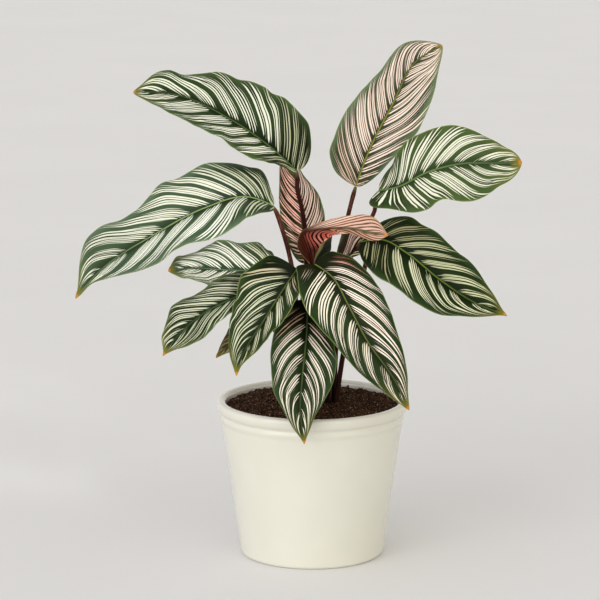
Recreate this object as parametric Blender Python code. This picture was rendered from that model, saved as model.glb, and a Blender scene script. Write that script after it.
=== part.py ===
"""A pinstripe calathea in its glazed pot.

Metres, +Z up. The origin is the centre of the pot's flat base, and the plant's open side
looks along -Y. Sizes below are millimetres, and MM turns them into metres where a mesh is made.
"""

import math
from dataclasses import dataclass

import bmesh
import bpy
import numpy as np
from mathutils import Vector, noise

MM = 0.001
GAP = 0.3  # left between pieces that touch

# Pot: a straight tapered wall under a bead and a rolled lip
POT_HEIGHT = 158.0
POT_SIDES = 48
WALL = 5.0
FLOOR = 8.0
BASE_RADIUS = 72.1
BASE_ROUND = 4.5
BODY_TOP_RADIUS = 90.1
BODY_TOP = 130.0
LIP_INNER_RADIUS = 89.2
LIP_ROUND = 3.4
LIP_CURVE = [
    (92.6, 158.0), (94.5, 157.3), (95.7, 155.6), (96.0, 153.4), (95.4, 150.2), (93.9, 147.6), (92.0, 145.8),
    (91.1, 144.4), (91.5, 142.8), (92.1, 141.0), (91.8, 138.9), (91.0, 137.0), (90.4, 135.2), (90.3, 133.2),
]

# Soil: fills the pot to a little under the lip
SOIL_LEVEL = 153.0
SOIL_MOUND = 2.0
SOIL_BUMP = 1.3
SOIL_BUMP_SIZE = 15.0
SOIL_RINGS = 8
SOIL_SIDES = 40
HOLE_DEPTH = 16.0
HOLE_SIDES = 10
HOLE_ROOM = 0.55  # hole radius over the stem's own

# Stems
STEM_ROOT_RADIUS = 2.7
STEM_TOP_RADIUS = 2.1
STEM_STEPS = 13
STEM_NECK = 6.0  # the bend under the blade, back from its base

# Blades
THICKNESS = 0.9
RIB_DEPTH = 1.3  # how far the midrib stands out under the blade
ROWS = 22
ACROSS = (-1.0, -0.6, -0.2, 0.0, 0.2, 0.6, 1.0)
BULGE = 0.22  # each half arches between the midrib and its edge
WIDTH_AT = (0.02, 0.06, 0.12, 0.2, 0.28, 0.36, 0.44, 0.52, 0.6, 0.68, 0.76, 0.84, 0.91, 0.97)  # where half-widths are given


@dataclass
class Leaf:
    """One leaf, in millimetres. Left and right are seen from its upper side, tip up."""

    midrib: list  # base to tip
    faces: list  # where the upper side looks, base to tip
    fold: tuple  # degrees that each half rises from flat, base to tip
    left: tuple  # half-widths at WIDTH_AT, before the rounding to base and tip
    right: tuple
    stem: list  # points from above the soil to below the neck
    root: tuple  # x and y in the soil
    wave: tuple = (2.0, 3.0, 0.1, 0.6)  # height, waves along the edge, start left and right
    lobe: tuple = (0.0, 0.0)  # how far the base reaches back, left and right
    stiff: float = 0.3  # how far the cross lines keep to the whole leaf's direction
    seat: float = 1.7  # how far under the blade its stem ends


LEAVES = {
    "top_left": Leaf(
        midrib=[(-15, -6, 389), (-45, -18, 418), (-84, -28, 446), (-130, -32, 468), (-175, -30, 471)],
        faces=[(0.1, -0.8, 0.55), (0, -0.75, 0.66), (-0.1, -0.75, 0.66)],
        fold=(20, 24, 14),
        left=(21, 14, 15, 27, 34, 34, 42, 37, 37, 47, 47, 41, 43, 40),
        right=(46, 54, 56, 49, 51, 45, 42, 42, 42, 34, 33, 44, 46, 37),
        stem=[(-6, 3, 299), (-8, 1, 336), (-11, -1, 354), (-15, -3, 372)],
        root=(-6, 4),
        wave=(4.5, 4.2, 0.3, 0.45),
        lobe=(0, 22),
        stiff=0.15,
    ),
    "mid_left": Leaf(
        midrib=[
            (-38, -10, 355),
            (-65, -20, 366),
            (-106, -34, 357),
            (-156, -46, 332),
            (-205, -56, 301),
            (-232, -60, 272),
        ],
        faces=[(0.1, -0.7, 0.7), (-0.05, -0.72, 0.7), (-0.25, -0.75, 0.6)],
        fold=(22, 24, 14),
        left=(38, 40, 42, 45, 56, 56, 45, 45, 49, 47, 45, 30, 9, 14),
        right=(33, 51, 45, 42, 42, 40, 40, 34, 35, 38, 49, 56, 43, 21),
        stem=[(-16, -4, 250), (-19, -10, 286), (-25, -10, 315), (-32, -9, 338)],
        root=(-15, 0),
        wave=(3.5, 4.0, 0.1, 0.3),
        stiff=0.2,
    ),
    "small_left": Leaf(
        midrib=[(-35, 10, 288), (-64, 7, 287), (-92, 2, 289), (-120, -6, 292), (-143, -14, 291)],
        faces=[(0, -0.62, 0.78), (-0.1, -0.62, 0.78), (-0.1, -0.65, 0.75)],
        fold=(18, 18, 10),
        left=(13, 18, 23, 28, 30, 32, 33, 34, 36, 41, 35, 29, 36, 35),
        right=(53, 41, 41, 35, 30, 32, 35, 33, 29, 27, 26, 28, 35, 30),
        stem=[(-25, 4, 200), (-25, 6, 250), (-27, 9, 274)],
        root=(-25, 3),
        wave=(2.5, 3.0, 0.2, 0.5),
    ),
    "low_left": Leaf(
        midrib=[(-50, -42, 283), (-76, -54, 272), (-107, -68, 258), (-128, -78, 242), (-146, -84, 220)],
        faces=[(-0.1, -0.6, 0.8), (-0.2, -0.62, 0.75), (-0.35, -0.7, 0.6)],
        fold=(14, 12, 8),
        left=(13, 15, 17, 18, 19, 21, 24, 24, 28, 35, 37, 32, 22, 15),
        right=(45, 41, 36, 32, 28, 25, 24, 26, 29, 33, 32, 31, 31, 13),
        stem=[(-17, -16, 190), (-22, -22, 240), (-34, -32, 275)],
        root=(-16, -14),
        wave=(2.0, 3.0, 0.0, 0.3),
    ),
    "under_left": Leaf(
        midrib=[(-50, -20, 244), (-65, -34, 235), (-79, -46, 226), (-95, -56, 212)],
        faces=[(-0.2, -0.5, 0.85), (-0.2, -0.5, 0.85), (-0.2, -0.55, 0.8)],
        fold=(14, 10, 6),
        left=(5, 7, 10, 13, 16, 19, 22, 23, 23, 21, 17, 13, 10, 9),
        right=(37, 31, 25, 20, 18, 16, 15, 14, 13, 12, 12, 10, 8, 9),
        stem=[(-26, -8, 190), (-34, -12, 225)],
        root=(-24, -7),
        wave=(1.0, 2.0, 0.0, 0.3),
    ),
    "front_left": Leaf(
        midrib=[(-15, -52, 300), (-33, -72, 276), (-50, -88, 251), (-65, -99, 229), (-74, -106, 205)],
        faces=[(-0.4, -0.7, 0.6), (-0.5, -0.75, 0.45), (-0.45, -0.8, 0.4)],
        fold=(22, 26, 16),
        left=(7, 14, 21, 29, 35, 37, 36, 33, 28, 30, 28, 19, 9, 4),
        right=(75, 61, 49, 42, 38, 36, 35, 34, 33, 33, 30, 28, 24, 19),
        stem=[(-9, -20, 200), (-10, -28, 260), (-9, -42, 298)],
        root=(-8, -17),
        wave=(1.5, 3.0, 0.2, 0.5),
        lobe=(0, 16),
    ),
    "front_middle": Leaf(
        midrib=[(-5, -46, 268), (-6, -70, 238), (-10, -93, 201), (-12, -108, 171), (-8, -118, 140)],
        faces=[(0, -0.75, 0.66), (0, -0.85, 0.5), (0, -0.95, 0.3)],
        fold=(14, 14, 8),
        left=(20, 21, 23, 25, 28, 30, 33, 34, 34, 32, 29, 24, 21, 15),
        right=(38, 37, 36, 35, 34, 34, 34, 33, 33, 33, 27, 23, 20, 13),
        stem=[(1, -22, 200), (0, -28, 245)],
        root=(1, -20),
        wave=(1.5, 3.0, 0.0, 0.4),
    ),
    "front_right": Leaf(
        midrib=[
            (2, -44, 303),
            (19, -58, 293),
            (34, -78, 270),
            (53, -98, 237),
            (79, -114, 202),
            (93, -120, 174),
        ],
        faces=[(0.2, -0.7, 0.7), (0.25, -0.8, 0.5), (0.2, -0.9, 0.35)],
        fold=(16, 14, 8),
        left=(55, 42, 39, 37, 36, 35, 35, 35, 33, 31, 28, 24, 18, 14),
        right=(59, 50, 52, 52, 47, 43, 40, 37, 36, 35, 35, 33, 29, 23),
        stem=[(10, -20, 200), (9, -28, 270)],
        root=(10, -17),
        wave=(1.5, 3.0, 0.2, 0.6),
        lobe=(10, 22),
    ),
    "right": Leaf(
        midrib=[
            (47, -10, 319),
            (71, -16, 322),
            (92, -22, 311),
            (126, -32, 285),
            (160, -42, 264),
            (191, -50, 253),
        ],
        faces=[(0, -0.8, 0.6), (0.05, -0.82, 0.55), (0.1, -0.85, 0.5)],
        fold=(14, 12, 8),
        left=(14, 20, 27, 37, 34, 34, 34, 35, 37, 38, 37, 36, 32, 20),
        right=(59, 57, 53, 49, 46, 41, 39, 40, 41, 40, 31, 26, 20, 10),
        stem=[(36, -7, 230), (46, -6, 265), (52, -5, 292), (53, -4, 303)],
        root=(24, -7),
        wave=(2.0, 3.0, 0.1, 0.4),
    ),
    "upper_right": Leaf(
        midrib=[
            (66, 8, 368),
            (83, 2, 372),
            (115, -6, 389),
            (148, -12, 398),
            (179, -16, 399),
            (206, -18, 400),
        ],
        faces=[(0, -0.85, 0.5), (0, -0.9, 0.42), (0.05, -0.9, 0.42)],
        fold=(16, 10, 6),
        left=(26, 29, 31, 34, 36, 38, 40, 42, 42, 40, 39, 40, 40, 49),
        right=(39, 35, 31, 38, 39, 37, 34, 39, 45, 50, 51, 46, 52, 61),
        stem=[(31, 10, 268), (41, 14, 307), (51, 16, 327), (62, 16, 346)],
        root=(22, 3),
        wave=(2.0, 3.0, 0.3, 0.1),
        lobe=(0, 44),
        seat=2.3,
    ),
    "top_right": Leaf(
        midrib=[(43, 14, 371), (59, 26, 411), (80, 38, 450), (103, 50, 491), (130, 58, 507)],
        faces=[(-0.1, -0.95, 0.3), (-0.1, -0.95, 0.3), (-0.1, -0.9, 0.4)],
        fold=(16, 12, 8),
        left=(63, 55, 50, 43, 40, 38, 36, 35, 33, 30, 33, 41, 44, 42),
        right=(22, 24, 26, 28, 31, 33, 37, 38, 40, 43, 46, 49, 49, 47),
        stem=[(22, 8, 268), (27, 10, 307), (32, 11, 326), (37, 12, 348)],
        root=(14, 6),
        wave=(1.5, 3.0, 0.1, 0.4),
    ),
    "back_middle": Leaf(
        midrib=[(-5, 18, 292), (-9, 24, 323), (-12, 29, 355), (-20, 34, 389), (-31, 38, 418)],
        faces=[(0, -0.97, 0.25), (0, -0.97, 0.25), (0, -0.97, 0.25)],
        fold=(20, 18, 10),
        left=(23, 22, 21, 22, 22, 23, 23, 23, 22, 21, 20, 19, 18, 18),
        right=(17, 19, 21, 23, 24, 24, 22, 20, 15, 10, 9, 8, 7, 6),
        stem=[(0, 15, 200), (-2, 17, 250)],
        root=(2, 13),
        wave=(1.0, 2.0, 0.1, 0.4),
    ),
    "back_right": Leaf(
        midrib=[(32, 2, 297), (39, 3, 305), (47, 5, 311), (57, 8, 316), (68, 11, 319)],
        faces=[(-0.1, -0.98, 0.15), (0, -0.98, 0.15), (0, -0.98, 0.15)],
        fold=(12, 12, 8),
        left=(21, 21, 20, 19, 20, 23, 26, 27, 27, 27, 27, 27, 27, 27),
        right=(6, 6, 4, 4, 5, 6, 7, 8, 9, 9, 9, 9, 9, 9),
        stem=[(17, -4, 200), (22, -3, 250), (28, -1, 282)],
        root=(15, -4),
        wave=(1.0, 2.0, 0.1, 0.4),
    ),
}

# The young leaf, still furled at its base: five lines that run from base to tip
FURLED_ROOT = (2, -6)
FURLED_STEM = [(2, -8, 200), (0, -11, 270), (-1, -14, 292)]
FURLED_ROWS = 20
FURLED_SPAN = (0.045, 0.95)  # where its rows begin and end along it
FURLED_STEPS = 3  # mesh columns between two of the lines
FURLED_RIB = 0.4
FURLED_BASE = (-1, -16, 301)
FURLED_TIP = (74, -44, 332)
FURLED_LINES = {
    "outer": [
        (-13, -24, 313), (-14, -30, 325), (-8, -34, 336),
        (12, -37, 345), (37, -39, 351), (59, -42, 350),
    ],
    "midrib": [
        (-10, -19, 312), (-11, -24, 324), (-5, -31, 333),
        (15, -38, 338), (37, -43, 339), (56, -45, 335),
    ],
    "wall": [
        (-2, -8, 308), (-1, -10, 318), (3, -17, 326),
        (17, -31, 334), (37, -39, 337), (57, -44, 332),
    ],
    "turn": [
        (9, -16, 304), (17, -20, 312), (18, -23, 323),
        (21, -29, 332), (37, -36, 334), (58, -43, 329),
    ],
    "rim": [
        (2, -27, 307), (6, -33, 317), (11, -36, 325),
        (22, -35, 331), (38, -33, 331), (60, -42, 326),
    ],
}

GLAZE = ((0.80, 0.77, 0.66), 0.2)
EARTH = ((0.035, 0.022, 0.016), 0.95)
GREEN = ((0.10, 0.22, 0.09), 0.45)
PINK = ((0.55, 0.30, 0.22), 0.45)
STEM_BROWN = ((0.09, 0.045, 0.035), 0.5)


# Curves and surfaces


def unit(vectors):
    """Vectors of length one."""
    return vectors / np.maximum(np.linalg.norm(vectors, axis=-1, keepdims=True), 1e-9)


def hermite(values, knots, at):
    """A smooth curve through values at knots, read at the places in at."""
    values = np.asarray(values, float)
    flat = values.reshape(len(values), -1)
    gaps = np.diff(knots)
    secants = np.diff(flat, axis=0) / gaps[:, None]
    slopes = np.empty_like(flat)
    inner = secants[:-1] * gaps[1:, None] + secants[1:] * gaps[:-1, None]
    slopes[1:-1] = inner / (gaps[1:] + gaps[:-1])[:, None]
    slopes[0] = 1.5 * secants[0] - 0.5 * slopes[1]
    slopes[-1] = 1.5 * secants[-1] - 0.5 * slopes[-2]
    at = np.clip(np.asarray(at, float), knots[0], knots[-1])
    i = np.clip(np.searchsorted(knots, at, side="right") - 1, 0, len(gaps) - 1)
    h = gaps[i][:, None]
    f = ((at - knots[i]) / gaps[i])[:, None]
    curve = (2 * f**3 - 3 * f**2 + 1) * flat[i]
    curve += (f**3 - 2 * f**2 + f) * h * slopes[i]
    curve += (3 * f**2 - 2 * f**3) * flat[i + 1]
    curve += (f**3 - f**2) * h * slopes[i + 1]
    return curve.reshape((len(at),) + values.shape[1:])


def smooth_path(points, at):
    """A smooth curve through points, read at shares of its length."""
    points = np.asarray(points, float)
    steps = np.linalg.norm(np.diff(points, axis=0), axis=1)
    knots = np.concatenate([[0.0], np.cumsum(steps)]) / steps.sum()
    return hermite(points, knots, at)


def plan(along):
    """A blade's width along its midrib as a share of the widest: round base, pointed tip."""
    along = np.clip(along, 0.0, 1.0)
    return np.minimum(1.0, along**0.5 * (1.0 - along) ** 0.75 / 0.4313)


def leaf_frames(leaf, along):
    """The midrib's points, the directions along and across the blade, and where it faces."""
    step = 0.01
    points = smooth_path(leaf.midrib, along)
    ahead = smooth_path(leaf.midrib, along + step)
    behind = smooth_path(leaf.midrib, along - step)
    whole = unit(np.subtract(leaf.midrib[-1], leaf.midrib[0], dtype=float))
    forward = unit(unit(ahead - behind) * (1.0 - leaf.stiff) + whole * leaf.stiff)
    shares = np.linspace(0.0, 1.0, len(leaf.faces))
    face = hermite(leaf.faces, shares, along)
    face = unit(face - (face * forward).sum(-1, keepdims=True) * forward)
    return points, forward, np.cross(forward, face), face


def half_blade(leaf, along, share, side):
    """Points at one share of the half-width. side is -1 on the left and 1 on the right."""
    points, forward, across, face = leaf_frames(leaf, along)
    widths = leaf.right if side > 0 else leaf.left
    width = hermite(widths, np.array(WIDTH_AT), along) * plan(along)
    fold = np.radians(hermite(leaf.fold, np.linspace(0.0, 1.0, len(leaf.fold)), along))
    height, waves, left_start, right_start = leaf.wave
    start = right_start if side > 0 else left_start
    ripple = height * np.sin(math.tau * (waves * along + start)) * share**2.5 * plan(along)
    lift = share * width * np.sin(fold) + BULGE * width * share * (1.0 - share) + ripple
    reach = share * width * np.cos(fold)
    back = leaf.lobe[1 if side > 0 else 0] * share * plan(along) * np.clip(1.0 - along / 0.25, 0.0, 1.0) ** 2
    return points + across * (side * reach)[:, None] + face * lift[:, None] - forward * back[:, None]


def blade_grid(leaf, along, shares):
    """The upper side's points, one row for each place along the midrib."""
    columns = [half_blade(leaf, along, abs(share), 1 if share > 0 else -1) for share in shares]
    return np.stack(columns, axis=1)


def furled_grid(along, shares):
    """The furled leaf's points, through its five lines. shares run from 0 to 1 across."""
    knots = np.linspace(0.0, 1.0, len(FURLED_LINES["outer"]) + 2)
    lines = [hermite([FURLED_BASE, *line, FURLED_TIP], knots, along) for line in FURLED_LINES.values()]
    return hermite(np.array(lines), np.linspace(0.0, 1.0, len(lines)), shares).transpose(1, 0, 2)


def rows_along(count):
    """Places along a blade, closer together near its base and tip."""
    even = np.linspace(0.0, 1.0, count + 2)[1:-1]
    return 0.5 * even + 0.5 * (0.5 - 0.5 * np.cos(math.pi * even))


def sheet_normals(grid):
    """The upper side's direction at each point of a grid."""
    return unit(np.cross(np.gradient(grid, axis=1), np.gradient(grid, axis=0)))


# Meshes and objects


def add_material(obj, name, look):
    """A Principled material of one colour and roughness."""
    colour, roughness = look
    material = bpy.data.materials.new(name)
    material.use_nodes = True
    shader = material.node_tree.nodes["Principled BSDF"]
    shader.inputs["Base Color"].default_value = (*colour, 1.0)
    shader.inputs["Roughness"].default_value = roughness
    shader.inputs["Metallic"].default_value = 0.0
    material.diffuse_color = (*colour, 1.0)
    obj.data.materials.append(material)


def add_object(name, data, parent):
    """Links new data to the scene under its parent."""
    obj = bpy.data.objects.new(name, data)
    bpy.context.scene.collection.objects.link(obj)
    obj.parent = parent
    return obj


def mesh_from(name, points, faces):
    """A smooth-shaded mesh from points in millimetres."""
    mesh = bpy.data.meshes.new(name)
    mesh.from_pydata([tuple(point) for point in np.asarray(points) * MM], [], faces)
    mesh.shade_smooth()
    mesh.set_sharp_from_angle(angle=math.radians(40.0))
    return mesh


def thick_sheet(name, upper, lower, base, tip):
    """A closed solid between two grids, split into triangles alike on both faces."""
    rows, columns = upper.shape[:2]
    size = rows * columns
    points = np.concatenate([upper.reshape(-1, 3), lower.reshape(-1, 3), base, tip])
    base_top, base_under, tip_top, tip_under = range(2 * size, 2 * size + 4)
    faces = []
    for row in range(rows - 1):
        for column in range(columns - 1):
            a = row * columns + column
            b, c, d = a + 1, a + columns + 1, a + columns
            faces += [(a, b, c), (a, c, d)]
            faces += [(c + size, b + size, a + size), (d + size, c + size, a + size)]
    for column in range(columns - 1):
        a = column
        b = (rows - 1) * columns + column
        faces += [(base_top, a + 1, a), (base_under, a + size, a + 1 + size)]
        faces += [(tip_top, b, b + 1), (tip_under, b + 1 + size, b + size)]
    left = [base_top, *range(0, size, columns), tip_top]
    right = [base_top, *range(columns - 1, size, columns), tip_top]
    under = {base_top: base_under, tip_top: tip_under}
    for edge, order in ((left, 1), (right, -1)):
        for near, far in zip(edge[:-1], edge[1:]):
            near_under = under.get(near, near + size)
            far_under = under.get(far, far + size)
            quad = (near, far, far_under, near_under)[::order]
            faces += [(quad[0], quad[1], quad[2]), (quad[0], quad[2], quad[3])]
    return mesh_from(name, points, faces)


def add_blade(name, grid, base, tip, middle, rib, look, parent):
    """A blade of even thickness with a rib under its midrib, from its upper side's grid."""
    normals = sheet_normals(grid)
    depth = np.full(grid.shape[:2], THICKNESS)
    depth[:, middle] += rib * np.linspace(1.0, 0.1, len(grid))
    lower = grid - normals * depth[..., None]
    base_pair = [base, base - normals[0, middle] * THICKNESS]
    tip_pair = [tip, tip - normals[-1, middle] * THICKNESS]
    obj = add_object(name, thick_sheet(name, grid, lower, base_pair, tip_pair), parent)
    add_material(obj, name, look)
    return obj


def stem_route(base, forward, face, stem, root, seat):
    """A stem's points: straight up its hole, through its own points, then into the blade's base."""
    end = base - forward * GAP - face * seat
    towards = unit(np.array(stem[-1], float) - end)
    neck = end + unit(towards - forward - face * 0.8) * STEM_NECK
    foot = (*root, SOIL_LEVEL - HOLE_DEPTH + GAP)
    ground = (*root, SOIL_LEVEL + SOIL_MOUND + SOIL_BUMP)
    return [foot, ground, *stem, neck, end]


def add_stem(name, route, parent):
    """A stem as a curve with a round section, thicker at its foot."""
    curve = bpy.data.curves.new(name, "CURVE")
    curve.dimensions = "3D"
    curve.bevel_depth = STEM_ROOT_RADIUS * MM
    curve.bevel_resolution = 2
    curve.render_resolution_u = 0
    curve.use_fill_caps = True
    places = np.linspace(0.0, 1.0, STEM_STEPS)
    spline = curve.splines.new("POLY")
    spline.points.add(len(places))
    upper = smooth_path(route[1:], places)
    for i, point in enumerate([np.array(route[0]), *upper]):
        share = max(0.0, (i - 1) / (len(places) - 1))
        spline.points[i].co = (*(point * MM), 1.0)
        spline.points[i].radius = 1.0 + (STEM_TOP_RADIUS / STEM_ROOT_RADIUS - 1.0) * share
    obj = add_object(name, curve, parent)
    add_material(obj, name, STEM_BROWN)
    return obj


def arc(centre, radius, start, end, steps):
    """Points on part of a circle, in degrees from +X towards +Z."""
    turns = np.radians(np.linspace(start, end, steps + 1))
    return [(centre[0] + radius * math.cos(a), centre[1] + radius * math.sin(a)) for a in turns]


def wall_radius(height):
    """The outer radius of the pot's tapered wall at a height."""
    share = (height - BASE_ROUND) / (BODY_TOP - BASE_ROUND)
    return BASE_RADIUS + (BODY_TOP_RADIUS - BASE_RADIUS) * share


def pot_profile():
    """Half of the pot's section: over the inside from the floor, and down the outside."""
    inner_floor = wall_radius(FLOOR) - WALL
    lip_top = POT_HEIGHT - LIP_ROUND
    profile = [(0.0, FLOOR)]
    profile += arc((inner_floor - 6.0, FLOOR + 6.0), 6.0, -90.0, 0.0, 3)
    profile += [(wall_radius(BODY_TOP) - WALL, BODY_TOP)]
    profile += arc((LIP_INNER_RADIUS + LIP_ROUND, lip_top), LIP_ROUND, 180.0, 120.0, 3)
    profile += [*LIP_CURVE, (BODY_TOP_RADIUS, BODY_TOP)]
    profile += arc((BASE_RADIUS - BASE_ROUND, BASE_ROUND), BASE_ROUND, 0.0, -90.0, 4)
    profile += [(0.0, 0.0)]
    return profile


def build_pot(parent):
    """The pot: its section turned about the axis."""
    profile = pot_profile()
    mesh = bpy.data.meshes.new("pot")
    edges = [(i, i + 1) for i in range(len(profile) - 1)]
    mesh.from_pydata([(x * MM, 0.0, z * MM) for x, z in profile], edges, [])
    obj = add_object("pot", mesh, parent)
    screw = obj.modifiers.new("turn", "SCREW")
    screw.axis = "Z"
    screw.steps = POT_SIDES
    screw.render_steps = POT_SIDES
    screw.use_merge_vertices = True
    screw.merge_threshold = 0.00002
    screw.use_smooth_shade = True
    add_material(obj, "pot", GLAZE)


def soil_height(x, y, radius):
    """The soil's bumpy top, a little higher towards the plant."""
    place = Vector((x, y, 0.0)) / SOIL_BUMP_SIZE
    bump = noise.noise(place) + 0.6 * noise.noise(place * 2.7 + Vector((5.0, 3.0, 0.0)))
    mound = SOIL_MOUND * (1.0 - (math.hypot(x, y) / radius) ** 2)
    return SOIL_LEVEL + mound + SOIL_BUMP * bump


def build_soil(parent):
    """The soil: a plug as wide as the pot's inside, with a plain hole for each stem."""
    top_radius = wall_radius(SOIL_LEVEL) - WALL - GAP - 0.6
    turns = [math.tau * i / SOIL_SIDES for i in range(SOIL_SIDES)]
    points = [(0.0, 0.0, soil_height(0.0, 0.0, top_radius))]
    for ring in range(1, SOIL_RINGS + 1):
        radius = top_radius * ring / SOIL_RINGS
        for a in turns:
            x, y = radius * math.cos(a), radius * math.sin(a)
            points.append((x, y, soil_height(x, y, top_radius)))
    bottom = FLOOR + GAP
    side = [(wall_radius(z) - WALL - 1.0, z) for z in (BODY_TOP, bottom + 7.0)]
    side += [(wall_radius(bottom) - WALL - 7.0, bottom)]
    for radius, height in side:
        points += [(radius * math.cos(a), radius * math.sin(a), height) for a in turns]
    points.append((0.0, 0.0, bottom))
    faces = [(0, 1 + i, 1 + (i + 1) % SOIL_SIDES) for i in range(SOIL_SIDES)]
    for ring in range(SOIL_RINGS + len(side) - 1):
        start = 1 + ring * SOIL_SIDES
        for i in range(SOIL_SIDES):
            j = (i + 1) % SOIL_SIDES
            a, b, c, d = start + i, start + j, start + SOIL_SIDES + j, start + SOIL_SIDES + i
            faces += [(a, d, c), (a, c, b)]
    start = len(points) - 1 - SOIL_SIDES
    faces += [(len(points) - 1, start + (i + 1) % SOIL_SIDES, start + i) for i in range(SOIL_SIDES)]
    obj = add_object("soil", mesh_from("soil", points, faces), parent)
    add_material(obj, "soil", EARTH)
    cut = obj.modifiers.new("stem holes", "BOOLEAN")
    cut.operation = "DIFFERENCE"
    cut.solver = "EXACT"
    cut.object = hole_cutter(parent)


def hole_cutter(parent):
    """One plain round hole for each stem."""
    cutter = bmesh.new()
    radius = STEM_ROOT_RADIUS + HOLE_ROOM
    tall = HOLE_DEPTH + 20.0
    roots = [leaf.root for leaf in LEAVES.values()] + [FURLED_ROOT]
    for x, y in roots:
        made = bmesh.ops.create_cone(
            cutter,
            cap_ends=True,
            segments=HOLE_SIDES,
            radius1=radius * MM,
            radius2=radius * MM,
            depth=tall * MM,
        )
        centre = Vector((x, y, SOIL_LEVEL - HOLE_DEPTH + tall / 2.0)) * MM
        bmesh.ops.translate(cutter, verts=made["verts"], vec=centre)
    mesh = bpy.data.meshes.new("stem_hole_cutter")
    cutter.to_mesh(mesh)
    cutter.free()
    obj = add_object("stem_hole_cutter", mesh, parent)
    obj.hide_render = True
    obj.display_type = "WIRE"
    return obj


def build_leaf(name, leaf, parent):
    """A leaf's blade and its stem."""
    grid = blade_grid(leaf, rows_along(ROWS), ACROSS)
    base, forward, _, face = (values[0] for values in leaf_frames(leaf, np.array([0.0])))
    tip = np.array(leaf.midrib[-1], float)
    add_blade(f"blade_{name}", grid, base, tip, len(ACROSS) // 2, RIB_DEPTH, GREEN, parent)
    add_stem(f"stem_{name}", stem_route(base, forward, face, leaf.stem, leaf.root, leaf.seat), parent)


def build_furled_leaf(parent):
    """The young leaf and its stem."""
    columns = FURLED_STEPS * (len(FURLED_LINES) - 1) + 1
    grid = furled_grid(np.linspace(*FURLED_SPAN, FURLED_ROWS), np.linspace(0.0, 1.0, columns))
    base = np.array(FURLED_BASE, float)
    tip = np.array(FURLED_TIP, float)
    add_blade("blade_furled", grid, base, tip, FURLED_STEPS, FURLED_RIB, PINK, parent)
    upward = np.array([0.0, 0.0, 1.0])
    route = stem_route(base, upward, upward, FURLED_STEM, FURLED_ROOT, 3.0 * GAP)
    add_stem("stem_furled", route, parent)


def build():
    """Clears the scene and makes every piece."""
    for obj in list(bpy.data.objects):
        bpy.data.objects.remove(obj, do_unlink=True)
    root = bpy.data.objects.new("potted_plant", None)
    bpy.context.scene.collection.objects.link(root)
    build_pot(root)
    build_soil(root)
    for name, leaf in LEAVES.items():
        build_leaf(name, leaf, root)
    build_furled_leaf(root)


build()
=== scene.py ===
"""The looks of a potted pinstripe calathea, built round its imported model.

The leaf table and the surface functions repeat those of the model's source, in millimetres, so every
fine blade and stem lies where its plain solid is. Only front_left and front_right are a few
millimetres wider near their bases. MM turns millimetres into metres where a mesh is made.
"""

import math
from dataclasses import dataclass

import bpy
import numpy as np
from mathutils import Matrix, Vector, noise


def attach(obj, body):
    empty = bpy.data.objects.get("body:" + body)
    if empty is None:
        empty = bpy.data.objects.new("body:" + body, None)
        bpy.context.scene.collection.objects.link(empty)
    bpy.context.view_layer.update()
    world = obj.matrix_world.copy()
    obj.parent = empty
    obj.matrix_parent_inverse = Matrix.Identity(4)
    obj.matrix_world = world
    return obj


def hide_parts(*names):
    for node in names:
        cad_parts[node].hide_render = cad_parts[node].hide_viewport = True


MM = 0.001

# Pot, as in the model but for the inner side of its lip
POT_HEIGHT = 158.0
WALL = 5.0
FLOOR = 8.0
FLOOR_ROUND = 6.0
BASE_RADIUS = 72.1
BASE_ROUND = 4.5
BODY_TOP_RADIUS = 90.1
BODY_TOP = 130.0
LIP_INNER_RADIUS = 86.6  # smaller than in the model, so that the soil meets the lip
LIP_ROUND = 4.6
LIP_CURVE = [
    (92.6, 158.0), (94.5, 157.3), (95.7, 155.6), (96.0, 153.4), (95.4, 150.2), (93.9, 147.6), (92.0, 145.8),
    (91.1, 144.4), (91.5, 142.8), (92.1, 141.0), (91.8, 138.9), (91.0, 137.0), (90.4, 135.2), (90.3, 133.2),
]
POT_TURNS = 160

# Soil, as in the model, with a finer top
SOIL_LEVEL = 153.0
SOIL_MOUND = 2.0
SOIL_BUMP = 1.3
SOIL_BUMP_SIZE = 15.0
SOIL_EDGE = 1.8  # how far it falls beside the pot's wall
SOIL_GAP = 0.9  # between the soil and the pot's wall
SOIL_STEP = 1.0  # distance between two rings of the fine surface
SOIL_FOOT = 16.0  # height where the plug's side turns in towards the pot's floor
CLODS = 1500
CLOD_MARGIN = 2.5  # how far they stay from the soil's edge
CLOD_SEED = 11

# Stems, as in the model, with more sides
HOLE_DEPTH = 16.0
GAP = 0.3  # between a stem and its hole, and between its end and the blade
STEM_ROOT_RADIUS = 2.7
STEM_TOP_RADIUS = 2.1
STEM_SWELL = 0.25  # how much thicker it is under its blade
STEM_POINT = 0.7  # how much thinner it is at its end
STEM_NECK = 6.0
STEM_ROWS = 60
STEM_SIDES = 14

# Blades
WIDTH_AT = (0.02, 0.06, 0.12, 0.2, 0.28, 0.36, 0.44, 0.52, 0.6, 0.68, 0.76, 0.84, 0.91, 0.97)
BULGE = 0.22  # each half arches between the midrib and its edge
THICKNESS = 0.6  # two thirds of the model's
RIB_DEPTH = 1.3
RIB_WIDTH = 1.6
ROWS = 130
COLUMNS = 57
WIDEST_PITCH = 50.0  # distances between strands above this count as the same
PLEAT = 0.3  # how far the blade rises and falls from one stripe to the next
FRILL = 0.5  # small waves along the edge

# Materials, with colours of 0 to 255 as seen on a screen
DRY = (194, 134, 60)
UNDERSIDE = (74, 46, 44)
STRAND_SEED = 31.0  # this and the next two keep the random numbers of two leaves apart
BORDER_SEED = 17.0
BAND_SEED = 7.0
SHADED_STEM = "top_left"  # the leaves round it keep the light from this stem
STEM_SHADE = 0.92

# Camera, in metres and degrees
CAMERA_PLACE = (-0.0123, -3.0, 0.85)
CAMERA_TILT = 11.15  # below level
CAMERA_LENS = 183.96  # for a sensor 36 mm wide


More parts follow.
